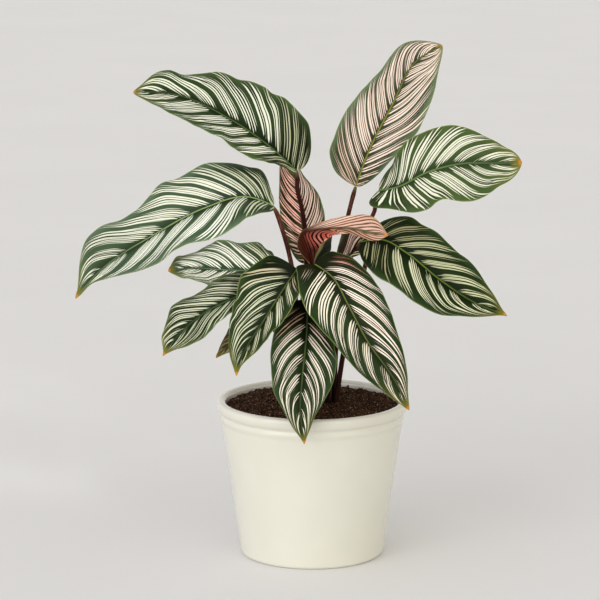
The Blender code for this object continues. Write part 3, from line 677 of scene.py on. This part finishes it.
def strand_masks(s, seed, look):
    """Where the pale strands lie, and where the dark lines between them don't.

    Each strand starts and stops at its own distance from the midrib. Where strands would be too
    narrow, first every second line ends, and then every fourth one.
    """
    band, out, run, pitch = (s.value(name) for name in ("band", "out", "run", "pitch"))
    lines = s.clouds(s.join(band * 1.1, out * 1.8, seed), 1.0) + s.value("strand")
    begin_chance, end_chance, width_chance = s.random(s.math("FLOOR", lines) + seed * STRAND_SEED)
    band_chance = s.random(s.math("FLOOR", band) + seed * BAND_SEED)[0]
    aside = abs(s.math("FRACT", band) - 0.5) * 2.0
    point = abs(s.math("FRACT", lines) - 0.5)
    begin = (aside**3.0 * 0.18 + begin_chance * 0.1 + point * 0.24 - 0.02) * look.away
    end = end_chance * -0.14 - point * 0.5 - aside**2.0 * 0.12 + (look.rim + 0.16)
    end = end - s.ramp(run, 0.3, 0.05, 0.0, 0.12)
    limit = (band_chance + width_chance) * 0.1 + look.pale
    limit = limit - s.ramp(out, 0.25, 0.03, 0.0, 0.26 * look.away) - s.ramp(out, 0.7, 1.0, 0.0, 0.2)
    limit = limit - s.ramp(run, 0.5, 0.95, 0.0, look.fade)
    lit = s.ramp(run, look.start, look.start + 0.07)
    run = end_chance * 0.06 + run
    lit = lit * s.ramp(run, look.reach + 0.05, look.reach)
    lit = lit * s.ramp(out, begin, begin + 0.04) * s.ramp(out, end, end - 0.06)
    lit = lit * s.ramp(aside, limit + 0.06, limit - 0.06)
    border = s.math("ROUND", lines)
    border_chance, shift_chance = s.random(border + (seed * BORDER_SEED + 0.5))[:2]
    gap = border_chance**1.5 * 0.18 + s.ramp(run, 0.4, 0.05, look.gap, look.gap + 0.09)
    gap = gap + s.ramp(out, 0.5, 1.0, 0.0, 0.14) + s.ramp(out, 0.3, 0.05, 0.0, 0.08)
    gap = gap + s.ramp(run, 0.5, 0.95, 0.0, look.fade * 0.5)
    thin = s.ramp(pitch, 1.8, 1.35)
    thinner = s.ramp(pitch, 1.0, 0.7)
    fourth = s.math("COMPARE", s.math("FLOORED_MODULO", border, 4.0), 2.0, 0.5)
    ended = s.math("FLOORED_MODULO", border, 2.0) * thin + fourth * thinner
    near = abs(lines - (border + (shift_chance * 0.4 - 0.2))) / ((thin + 1.0) * (thinner + 1.0))
    line = s.math("MAXIMUM", s.ramp(near, gap, gap + 0.05), ended)
    return lit, line, out


def blade_material(name, look, seed):
    """The striped upper side."""
    s = Shade(name)
    lit, line, out = strand_masks(s, seed, look)
    run = s.value("run")
    right = s.ramp(s.value("side"), -0.1, 0.1)
    patches = s.clouds(s.place(), 60.0, 3.0)
    # Between the stripes: darker beside the base, partly painted shade, and darker beside the midrib.
    green = s.coats(
        s.mix(s.ramp(run, 0.05, 0.4), look.deep, look.dark),
        (s.ramp(out, 0.35, 0.0, 0.0, 0.75), look.deep),
        (s.ramp(out, 0.75, 0.96) * s.ramp(run, 0.0, 0.35, 0.3, 1.0), look.green),
        (s.ramp(line, 0.2, 0.9) * s.ramp(out, 0.1, 0.4) * 0.16, screen(look.green) * 1.25),
        (s.ramp(patches, 0.3, 0.75, 0.0, 0.25), screen(look.dark) * 0.6),
    )
    pale = s.mix(right, look.left, look.right)
    # Strands beside the base take the base colour: a pink flush on some leaves, painted shade on others.
    blush_and_shade = right * (look.blush_and_shade[1] - look.blush_and_shade[0]) + look.blush_and_shade[0]
    pale = s.mix(s.ramp(s.value("origin"), blush_and_shade - 0.1, blush_and_shade + 0.02), look.base, pale)
    pale = s.mix(s.ramp(patches, 0.35, 0.8, 0.0, 0.1), pale, screen(look.green) * 1.5)
    away = s.value("tip_distance")
    colour = s.coats(
        s.mix(lit, green, s.mix(line, look.line, pale)),
        (s.ramp(s.value("rib"), 1.05, 0.45) * s.ramp(run, 0.4, 0.85, 0.9, 0.4), look.rib),
        # A thin pale line along the edge: painted highlight where the edge catches the light.
        (s.ramp(out, 0.965, 0.995, 0.0, 0.45), (150, 164, 92)),
        (s.ramp(away, look.tip * 9.0, look.tip) * s.ramp(out, 0.2, 1.0) * 0.4, (146, 144, 60)),
        (s.ramp(away, look.tip * 2.6, look.tip * 0.9, 0.0, 0.8), (124, 118, 42)),
        (s.ramp(away, look.tip, look.tip * 0.4), DRY),
    )
    return s.finish(
        Base_Color=colour,
        Roughness=s.ramp(patches, 0.2, 0.8, 0.4, 0.52),
        Specular_IOR_Level=0.08,
        Normal=s.bump(lit * line * 0.5 + patches * 0.6),
    )


def underside_material(name, look, seed):
    """The plain wine-brown lower side, where the stripes only show through."""
    s = Shade(name)
    lit, line, out = strand_masks(s, seed, look)
    colour = s.coats(
        s.mix(s.ramp(out, 0.5, 1.0), UNDERSIDE, (88, 74, 54)),
        (lit * line * 0.3, screen(look.left) * (0.5, 0.32, 0.3, 1.0)),
        (s.ramp(s.clouds(s.place(), 70.0, 3.0), 0.3, 0.8, 0.0, 0.4), screen(UNDERSIDE) * 0.5),
    )
    return s.finish(Base_Color=colour, Roughness=0.48, Specular_IOR_Level=0.25, Normal=s.bump(line * lit))


def young_material():
    """The young leaf's inner side: pink strokes, and a red hollow, with painted shade that darkens it
    towards its base.
    """
    s = Shade("upper_furled")
    run, out, strand = (s.value(name) for name in ("run", "out", "strand"))
    lower = s.ramp(s.value("side"), -0.1, 0.1)
    lines = s.clouds(s.join(strand * 0.4, out * 2.0), 1.3) * 0.8 + strand
    tone, width_chance = s.random(s.math("FLOOR", lines))[:2]
    width = width_chance * 0.14 + 0.2
    stroke = s.ramp(abs(s.math("FRACT", lines) - 0.5), width + 0.08, width)
    tongue = s.mix(s.ramp(tone, 0.2, 0.8), (226, 198, 180), (212, 164, 146))
    tongue = s.mix(s.ramp(run, 0.42, 0.6), (88, 52, 38), tongue)
    hollow = s.mix(s.ramp(tone, 0.2, 0.8), (255, 166, 146), (250, 124, 106))
    # Painted shade: the hollow darkens towards its base, deep in the furl.
    hollow = s.mix(s.ramp(run, 0.16, 0.44) * s.ramp(out + run, 0.36, 0.62), (96, 46, 34), hollow)
    hollow = s.mix(s.ramp(run, 0.5, 0.64), hollow, (236, 184, 156))
    # Painted shade: the lines between the strokes darken towards the base too.
    between = s.mix(s.ramp(run, 0.42, 0.62), (42, 14, 10), (104, 72, 50))
    crease = s.ramp(out, 0.2, 0.04) * s.ramp(run, 0.38, 0.5) * 0.85
    edge = s.ramp(out, 0.88, 0.98) * s.ramp(run, 0.8, 0.9, 0.4, 0.9) * (lower * -1.0 + 1.0)
    colour = s.coats(
        s.mix(stroke, between, s.mix(lower, tongue, hollow)),
        (crease, s.mix(s.ramp(run, 0.55, 0.75), (84, 56, 38), (76, 82, 48))),
        (edge, (158, 134, 74)),
        (s.ramp(s.value("tip_distance"), 6.0, 2.0), (214, 144, 88)),
    )
    return s.finish(
        Base_Color=colour,
        Roughness=s.ramp(run, 0.2, 0.8, 0.5, 0.42),
        Specular_IOR_Level=0.15,
        Normal=s.bump(stroke),
    )


def young_back_material():
    """The young leaf's outer side: dark green, redder towards its tip, with a paler rim."""
    s = Shade("lower_furled")
    streaks = s.clouds(s.join(s.value("strand") * 0.8, s.value("out")), 3.0, 3.0)
    colour = s.coats(
        s.mix(s.ramp(streaks, 0.35, 0.65), (13, 14, 6), (30, 32, 15)),
        (s.ramp(s.value("run"), 0.4, 0.7), (120, 84, 66)),
        (s.ramp(s.value("out"), 0.93, 0.98), (116, 116, 66)),
    )
    return s.finish(
        Base_Color=colour,
        Roughness=s.ramp(streaks, 0.3, 0.7, 0.4, 0.5),
        Specular_IOR_Level=0.1,
        Normal=s.bump(streaks),
    )


def stem_material():
    """Reddish brown with fine pale streaks along the stem, and darker towards the soil."""
    s = Shade("stem")
    run = s.value("run")
    streaks = s.clouds(s.stretch(s.place(), (1.0, 1.0, 0.09)), 900.0, 3.0)
    patches = s.clouds(s.stretch(s.place(), (1.0, 1.0, 0.4)), 120.0, 3.0)
    colour = s.coats(
        s.mix(s.ramp(patches, 0.3, 0.7), (50, 22, 16), (92, 46, 34)),
        (s.ramp(streaks, 0.5, 0.75, 0.0, 0.55), (130, 84, 66)),
        (s.ramp(run, 0.5, 0.05, 0.0, 0.75), (26, 14, 10)),
        (s.value("shade"), (40, 8, 7)),
        (s.ramp(run, 0.965, 1.0, 0.0, 0.6), (112, 104, 62)),
    )
    return s.finish(Base_Color=colour, Roughness=0.5, Specular_IOR_Level=0.08, Normal=s.bump(streaks))


def glaze_material():
    """Ivory glaze, very slightly uneven, with painted light that makes the inner wall nearly white."""
    s = Shade("glaze")
    cloud = s.clouds(s.place(), 14.0, 3.0)
    colour = s.mix(s.ramp(cloud, 0.3, 0.7), (229, 227, 214), (225, 223, 210))
    return s.finish(
        # The inner wall is painted nearly white: painted light where the lip and the leaves keep the lamps
        # off.
        Base_Color=s.mix(s.value("inside"), colour, (255, 254, 246)),
        Roughness=s.ramp(s.clouds(s.place(), 220.0), 0.3, 0.7, 0.2, 0.27),
        Coat_Weight=0.4,
        Coat_Roughness=0.12,
        Normal=s.bump(cloud, 0.0004, 0.3),
    )


def soil_material(name):
    """Dark moist compost with paler fibres and specks."""
    s = Shade(name)
    coarse = s.clouds(s.place(), 260.0, 4.0)
    fine = s.clouds(s.place(), 900.0, 3.0)
    specks = s.clouds(s.place(), 620.0, 1.0)
    colour = s.coats(
        s.mix(s.ramp(coarse, 0.35, 0.65), (22, 13, 7), (66, 42, 26)),
        (s.ramp(fine, 0.5, 0.68, 0.0, 0.8), (124, 86, 58)),
        (s.ramp(specks, 0.68, 0.72), (206, 176, 140)),
    )
    return s.finish(Base_Color=colour, Roughness=0.9, Specular_IOR_Level=0.15, Normal=s.bump(fine, 0.0008))


def floor_material():
    """The plain pale floor."""
    s = Shade("floor")
    tone = s.ramp(s.clouds(s.place(), 3.0, 4.0), 0.3, 0.7)
    return s.finish(Base_Color=s.mix(tone, (236, 235, 237), (238, 237, 239)), Roughness=0.75)


# Meshes and pieces


def new_mesh(name, points, faces):
    """A smooth-shaded mesh from points in millimetres."""
    mesh = bpy.data.meshes.new(name)
    mesh.from_pydata((np.asarray(points, float) * MM).tolist(), [], faces)
    mesh.shade_smooth()
    mesh.set_sharp_from_angle(angle=math.radians(50.0))
    return mesh


def add_object(name, data):
    """A new object of the scene."""
    obj = bpy.data.objects.new(name, data)
    bpy.context.scene.collection.objects.link(obj)
    return obj


def store(mesh, **values):
    """Stores one number per point on the mesh under each name."""
    for name, numbers in values.items():
        attribute = mesh.attributes.new(name, "FLOAT", "POINT")
        attribute.data.foreach_set("value", np.asarray(numbers, np.float32).ravel())


def add_piece(name, mesh, materials, node=None):
    """Adds a piece to the plant, in place of the model's node if one is named."""
    obj = add_object(name, mesh)
    for material in materials:
        mesh.materials.append(material)
    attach(obj, "root")
    if node:
        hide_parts(node)


def sheet_faces(rows, columns):
    """Faces of a closed sheet: above, round the rim, and below. Says where those below start."""
    size = rows * columns
    base_top, base_under, tip_top, tip_under = range(2 * size, 2 * size + 4)
    upper = []
    for row in range(rows - 1):
        start = row * columns
        upper += [(i, i + 1, i + 1 + columns, i + columns) for i in range(start, start + columns - 1)]
    last = (rows - 1) * columns
    for column in range(columns - 1):
        upper += [(base_top, column + 1, column), (tip_top, last + column, last + column + 1)]
    under = {base_top: base_under, tip_top: tip_under}
    lower = [tuple(under.get(corner, corner + size) for corner in reversed(face)) for face in upper]
    left = [base_top, *range(0, size, columns), tip_top]
    right = [base_top, *range(columns - 1, size, columns), tip_top]
    rim = []
    for edge, order in ((left, 1), (right, -1)):
        for near, far in zip(edge[:-1], edge[1:]):
            quad = (near, far, under.get(far, far + size), under.get(near, near + size))
            rim.append(quad[::order])
    return upper + rim + lower, len(upper) + len(rim)


def add_blade(name, grid, base, tip, rib_distance, numbers, materials):
    """A thin closed blade with a rib below its midrib, and with the numbers that its materials read."""
    rows, columns = grid.shape[:2]
    normals = sheet_normals(grid)
    taper = np.linspace(1.0, 0.1, rows)[:, None]
    depth = THICKNESS + RIB_DEPTH * taper * np.exp(-((rib_distance / RIB_WIDTH) ** 2))
    lower = grid - normals * depth[..., None]
    middle = int(np.argmin(rib_distance[rows // 2]))
    ends = [base, base - normals[0, middle] * THICKNESS, tip, tip - normals[-1, middle] * THICKNESS]
    points = np.concatenate([grid.reshape(-1, 3), lower.reshape(-1, 3), ends])
    faces, first_below = sheet_faces(rows, columns)
    mesh = new_mesh(f"leaf_{name}", points, faces)
    for key, values in {**numbers, "rib": rib_distance}.items():
        values = np.broadcast_to(values, (rows, columns))
        start, end = values[0, middle], values[-1, middle]
        flat = values.ravel()
        store(mesh, **{key: np.concatenate([flat, flat, [start, start, end, end]])})
    store(mesh, tip_distance=np.linalg.norm(points - tip, axis=1))
    add_piece(f"leaf_{name}", mesh, materials, f"blade_{name}")
    below = np.arange(len(faces)) >= first_below
    mesh.polygons.foreach_set("material_index", below.astype(np.int32))


def make_leaf(name, leaf, look, seed):
    """One leaf: its blade and its stem."""
    along = rows_along(ROWS)
    shares = shares_across(COLUMNS)
    strands = np.linalg.norm(np.diff(leaf.midrib, axis=0), axis=1).sum() / look.strand
    lines = [half_blade(leaf, along, abs(share), 1 if share > 0 else -1) for share in shares]
    grid = np.stack(lines, axis=1)
    band, strand, origin, distance = np.empty((4, *grid.shape[:2]))
    out = np.abs(shares)
    for index, columns in enumerate((shares <= 0.0, shares > 0.0)):
        starts = vein_starts(look.sweeps[index], along, out[columns])
        origin[:, columns] = starts
        band[:, columns], strand[:, columns] = stripe_counts(starts, look.stripes[index], strands)
        distance[:, columns] = half_widths(leaf, along, 2 * index - 1)[:, None] * out[columns]
    raised = PLEAT * np.cos(math.tau * band) * np.sin(math.pi * np.clip(out, 0.0, 0.95) / 0.95)
    raised = raised * ease(along / 0.1)[:, None] * plan(along)[:, None]
    grid = grid - sheet_normals(grid) * raised[..., None]
    numbers = {
        "band": band,
        "strand": strand,
        "origin": origin,
        "pitch": np.minimum(line_pitch(grid, strand), WIDEST_PITCH),
        "out": out,
        "run": along[:, None],
        "side": np.sign(shares),
    }
    base, forward, _, face = (values[0] for values in leaf_frames(leaf, np.array([0.0])))
    tip = np.array(leaf.midrib[-1], float)
    upper = blade_material(f"upper_{name}", look, seed)
    lower = underside_material(f"lower_{name}", look, seed)
    add_blade(name, grid, base, tip, distance, numbers, [upper, lower])
    add_stem(name, stem_route(base, forward, face, leaf.stem, leaf.root, leaf.seat))


def make_furled_leaf():
    """The young leaf, with its own sweep of stripes on each side of the crease."""
    along = np.linspace(*FURLED_SPAN, ROWS)
    shares = np.linspace(0.0, 1.0, COLUMNS)
    knots = np.linspace(0.0, 1.0, len(FURLED_LINES["outer"]) + 2)
    lines = [hermite([FURLED_BASE, *line, FURLED_TIP], knots, along) for line in FURLED_LINES.values()]
    grid = hermite(np.array(lines), np.linspace(0.0, 1.0, len(lines)), shares).transpose(1, 0, 2)
    crease = FURLED_CREASE
    upper_half = shares <= crease
    out = np.where(upper_half, 1.0 - shares / crease, (shares - crease) / (1.0 - crease))
    strand = np.empty(grid.shape[:2])
    strand[:, upper_half] = FURLED_STROKES * vein_starts(FURLED_SWEEP, along, out[upper_half])
    arcs = FURLED_ARCS * np.hypot((along[:, None] - 0.05) / 0.42, shares[None, :] / 0.56)
    strokes = FURLED_STROKES * along[:, None] + 4.0 - 4.0 * (shares[None, :] - crease)
    strand[:, ~upper_half] = (arcs + (strokes - arcs) * ease((along[:, None] - 0.5) / 0.14))[:, ~upper_half]
    middle = int(np.argmin(out))
    distance = np.linalg.norm(grid - grid[:, middle : middle + 1], axis=2)
    side = np.where(upper_half, -1.0, 1.0)
    numbers = {"strand": strand, "out": out, "run": along[:, None], "side": side}
    base = np.array(FURLED_BASE, float)
    tip = np.array(FURLED_TIP, float)
    materials = [young_material(), young_back_material()]
    add_blade("furled", grid, base, tip, distance, numbers, materials)
    upward = np.array([0.0, 0.0, 1.0])
    add_stem("furled", stem_route(base, upward, upward, FURLED_STEM, FURLED_ROOT, 3.0 * GAP))


def stem_route(base, forward, face, stem, root, seat):
    """A stem's points: straight up its hole, through its own points, then into the blade's base."""
    end = base - forward * GAP - face * seat
    towards = unit(np.array(stem[-1], float) - end)
    neck = end + unit(towards - forward - face * 0.8) * STEM_NECK
    foot = (*root, SOIL_LEVEL - HOLE_DEPTH + GAP)
    ground = (*root, SOIL_LEVEL + SOIL_MOUND + SOIL_BUMP)
    return [foot, ground, *stem, neck, end]


def ring_faces(rings, sides):
    """Faces between rings of points, and round the two points after them, which close both ends."""
    faces = []
    for start in range(0, (rings - 1) * sides, sides):
        for i in range(sides):
            j = (i + 1) % sides
            faces.append((start + i, start + j, start + sides + j, start + sides + i))
    first = rings * sides
    top = first - sides
    for i in range(sides):
        j = (i + 1) % sides
        faces += [(first, j, i), (first + 1, top + i, top + j)]
    return faces


def tube(path, radii, sides):
    """Points and faces of a round tube along a path, closed at both ends."""
    ahead = unit(np.gradient(path, axis=0))
    across = unit(np.cross(ahead, (0.0, 1.0, 0.13)))
    over = np.cross(across, ahead)
    turns = np.linspace(0.0, math.tau, sides, endpoint=False)
    ring = np.cos(turns)[:, None, None] * across + np.sin(turns)[:, None, None] * over
    points = (path + ring * radii[:, None]).transpose(1, 0, 2).reshape(-1, 3)
    return np.concatenate([points, path[:1], path[-1:]]), ring_faces(len(path), sides)


def add_stem(name, route):
    """A stem that narrows upwards, and swells a little under its blade."""
    places = np.linspace(0.0, 1.0, STEM_ROWS)
    upper = smooth_path(route[1:], places)
    path = np.concatenate([[route[0]], upper])
    share = np.concatenate([[0.0], places])
    radii = STEM_ROOT_RADIUS + (STEM_TOP_RADIUS - STEM_ROOT_RADIUS) * share
    radii += STEM_SWELL * np.exp(-(((share - 0.955) / 0.02) ** 2))
    radii -= STEM_POINT * ease((share - 0.975) / 0.025)
    points, faces = tube(path, radii, STEM_SIDES)
    mesh = new_mesh(f"leaf_stem_{name}", points, faces)
    shade = STEM_SHADE if name == SHADED_STEM else 0.0
    run = np.concatenate([np.repeat(share, STEM_SIDES), [0.0, 1.0]])
    store(mesh, run=run, shade=np.full(len(points), shade))
    add_piece(f"leaf_stem_{name}", mesh, [STEM], f"stem_{name}")


def arc(centre, radius, start, end, steps):
    """Points on part of a circle, in degrees from +X towards +Z."""
    turns = np.radians(np.linspace(start, end, steps + 1))
    return [(centre[0] + radius * math.cos(a), centre[1] + radius * math.sin(a)) for a in turns]


def wall_radius(height):
    """The outer radius of the pot's tapered wall at a height."""
    share = (height - BASE_ROUND) / (BODY_TOP - BASE_ROUND)
    return BASE_RADIUS + (BODY_TOP_RADIUS - BASE_RADIUS) * share


def pot_profile():
    """Half of the pot's section: over the inside from the floor, and down the outside."""
    inner_floor = wall_radius(FLOOR) - WALL
    lip_top = POT_HEIGHT - LIP_ROUND
    profile = [(20.0, FLOOR), (45.0, FLOOR)]
    profile += arc((inner_floor - FLOOR_ROUND, FLOOR + FLOOR_ROUND), FLOOR_ROUND, -90.0, 0.0, 6)
    profile += [(wall_radius(z) - WALL, z) for z in (40.0, 80.0, 120.0, BODY_TOP)]
    profile += arc((LIP_INNER_RADIUS + LIP_ROUND, lip_top), LIP_ROUND, 180.0, 95.0, 8)
    profile += [tuple(point) for point in smooth_path(LIP_CURVE, np.linspace(0.0, 1.0, 50))]
    profile += [(wall_radius(z), z) for z in (BODY_TOP, 120.0, 100.0, 80.0, 60.0, 35.0, 15.0)]
    profile += arc((BASE_RADIUS - BASE_ROUND, BASE_ROUND), BASE_ROUND, 0.0, -90.0, 10)
    profile += [(45.0, 0.0), (20.0, 0.0)]
    return profile


def turned(profile, turns):
    """Points and faces of a profile turned about the axis, closed at both ends."""
    profile = np.array(profile)
    angles = np.linspace(0.0, math.tau, turns, endpoint=False)
    points = np.empty((len(profile), turns, 3))
    points[..., 0] = profile[:, :1] * np.cos(angles)
    points[..., 1] = profile[:, :1] * np.sin(angles)
    points[..., 2] = profile[:, 1:]
    faces = [face[::-1] for face in ring_faces(len(profile), turns)]
    ends = [(0.0, 0.0, profile[0, 1]), (0.0, 0.0, profile[-1, 1])]
    return np.concatenate([points.reshape(-1, 3), ends]), faces


def make_pot():
    """The glazed pot."""
    points, faces = turned(pot_profile(), POT_TURNS)
    mesh = new_mesh("glazed_pot", points, faces)
    distance = np.hypot(points[:, 0], points[:, 1])
    # inside marks the inner wall, where the glaze paints in light.
    store(mesh, inside=(distance < LIP_INNER_RADIUS + 0.5) & (points[:, 2] > BODY_TOP - 5.0))
    add_piece("glazed_pot", mesh, [glaze_material()], "pot")


def soil_height(x, y, radius):
    """The height of the model's bumpy soil, which falls a little beside the pot's wall."""
    place = Vector((x, y, 0.0)) / SOIL_BUMP_SIZE
    bump = noise.noise(place) + 0.6 * noise.noise(place * 2.7 + Vector((5.0, 3.0, 0.0)))
    share = math.hypot(x, y) / radius
    mound = SOIL_MOUND * (1.0 - share**2)
    return SOIL_LEVEL + mound + SOIL_BUMP * bump - SOIL_EDGE * share**16


def crumbs(x, y):
    """The fine roughness of the soil's top: lumps of about 4, 2 and 1 mm."""
    place = Vector((x, y, 0.0))
    lumps = noise.noise(place / 4.2) + 0.7 * noise.noise(place / 2.1 + Vector((7.0, 1.0, 0.0)))
    return 1.3 * lumps + 0.8 * noise.noise(place / 1.1)


def make_soil():
    """The soil's plug with a fine crumbly top."""
    radius = LIP_INNER_RADIUS - SOIL_GAP
    rings = int(radius / SOIL_STEP)
    turns = int(math.tau * radius * 0.6 / SOIL_STEP)
    profile = [(radius * (ring + 1) / rings, 0.0) for ring in range(rings)]
    profile += [(wall_radius(z) - WALL - SOIL_GAP, z) for z in (BODY_TOP, SOIL_FOOT)]
    profile += [(wall_radius(8.3) - WALL - 7.0, FLOOR + GAP)]
    points, faces = turned(profile, turns)
    for i in [*range(rings * turns), len(points) - 2]:
        x, y = points[i, :2]
        points[i, 2] = soil_height(x, y, radius) + crumbs(x, y)
    faces = [face[::-1] for face in faces]
    mesh = new_mesh("potting_soil", points, faces)
    add_piece("potting_soil", mesh, [soil_material("compost")], "soil")
    return radius


def clod_shape():
    """Points and faces of the small round body that every crumb is made from."""
    rings, sides = 4, 7
    turns = [math.pi * ring / rings for ring in range(1, rings)]
    points, faces = turned([(math.sin(turn), math.cos(turn)) for turn in turns], sides)
    points[-2:, 2] = (1.0, -1.0)
    return points, faces


def make_clods(radius):
    """Loose crumbs scattered over the soil."""
    rng = np.random.default_rng(CLOD_SEED)
    shape, shape_faces = clod_shape()
    points = []
    faces = []
    for _ in range(CLODS):
        distance = (radius - CLOD_MARGIN) * math.sqrt(rng.random())
        turn = math.tau * rng.random()
        x, y = distance * math.cos(turn), distance * math.sin(turn)
        size = 0.6 + 1.9 * rng.random() ** 2.6
        stretch = size * (0.7 + 0.6 * rng.random(3))
        spin = np.linalg.qr(rng.normal(size=(3, 3)))[0]
        body = (shape * stretch * (1.0 + 0.22 * rng.normal(size=(len(shape), 1)))) @ spin
        height = soil_height(x, y, radius) + crumbs(x, y) + 0.15 * size
        start = len(points) * len(shape)
        points.append(body + (x, y, height))
        order = 1 if np.linalg.det(spin) > 0 else -1
        faces += [tuple(corner + start for corner in face)[::order] for face in shape_faces]
    mesh = new_mesh("soil_crumbs", np.concatenate(points), faces)
    mesh.set_sharp_from_angle(angle=math.radians(30.0))
    add_piece("soil_crumbs", mesh, [soil_material("crumbs")])


# Floor, light and camera


def make_floor():
    """A wide floor under the pot."""
    mesh = bpy.data.meshes.new("floor")
    reach = 12.0
    corners = [(-reach, -reach, 0), (reach, -reach, 0), (reach, reach, 0), (-reach, reach, 0)]
    mesh.from_pydata(corners, [], [(0, 1, 2, 3)])
    floor = add_object("floor", mesh)
    mesh.materials.append(floor_material())


def add_light(name, kind, place, target, **settings):
    """A light that shines from a place to a target."""
    light = bpy.data.lights.new(name, kind)
    for key, value in settings.items():
        setattr(light, key, value)
    obj = add_object(name, light)
    obj.location = place
    obj.rotation_euler = (Vector(target) - obj.location).to_track_quat("-Z", "Y").to_euler()


def make_light():
    """Soft studio light: three wide lights, and a spot on the lower left leaves."""
    middle = (0.0, 0.0, 0.25)
    for name, place, angle, energy, colour in (
        ("key", (-1.66, -2.37, 1.03), 50.0, 1.2, (1.0, 0.985, 0.96)),
        ("fill", (1.3, -2.25, 1.75), 70.0, 0.38, (1.0, 0.985, 0.9)),
        ("top", (-0.4, -0.6, 3.0), 80.0, 0.3, (1.0, 1.0, 1.0)),
    ):
        add_light(name, "SUN", place, middle, angle=math.radians(angle), energy=energy, color=colour)
    spot = {"energy": 80.0, "shadow_soft_size": 0.1, "spot_size": math.radians(9.0), "spot_blend": 1.0}
    add_light("left_leaves", "SPOT", (0.58, -1.3, 0.95), (-0.1, 0.0, 0.29), **spot)


def make_room():
    """A pale room all round, dimmer above, and dimmer and warmer on the right."""
    world = bpy.data.worlds.new("room")
    world.use_nodes = True
    room = Nodes(world.node_tree)
    parts = room.add("SeparateXYZ", room.add("TexCoord").outputs["Generated"]).outputs
    background = world.node_tree.nodes["Background"]
    room.set(background.inputs["Strength"], room.ramp(parts["Z"], 0.1, 0.8, 0.95, 0.5))
    left = np.array((1.0, 0.99, 0.97, 1.0))
    right = np.array((0.89, 0.85, 0.71, 1.0))
    room.set(background.inputs["Color"], room.mix(room.ramp(parts["X"], -0.2, 0.9), left, right))
    bpy.context.scene.world = world
    bpy.context.scene.view_settings.view_transform = "Standard"


def make_camera():
    """The photograph's view: level with the leaves, a little from above, from far away."""
    camera = bpy.data.cameras.new("camera")
    camera.sensor_width = 36.0
    camera.lens = CAMERA_LENS
    camera.clip_end = 60.0
    obj = add_object("camera", camera)
    obj.location = CAMERA_PLACE
    obj.rotation_euler = (math.radians(90.0 - CAMERA_TILT), 0.0, 0.0)
    bpy.context.scene.camera = obj


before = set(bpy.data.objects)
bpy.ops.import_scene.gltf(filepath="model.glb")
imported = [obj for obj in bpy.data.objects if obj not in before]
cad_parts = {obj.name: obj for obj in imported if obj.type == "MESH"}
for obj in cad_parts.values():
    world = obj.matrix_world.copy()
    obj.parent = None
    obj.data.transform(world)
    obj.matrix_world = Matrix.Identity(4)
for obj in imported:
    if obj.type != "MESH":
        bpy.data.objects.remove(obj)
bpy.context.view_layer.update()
STEM = stem_material()
make_camera()
make_light()
make_room()
make_floor()
make_pot()
make_clods(make_soil())
for number, (leaf_name, leaf) in enumerate(LEAVES.items()):
    make_leaf(leaf_name, leaf, LOOKS[leaf_name], number + 1)
make_furled_leaf()
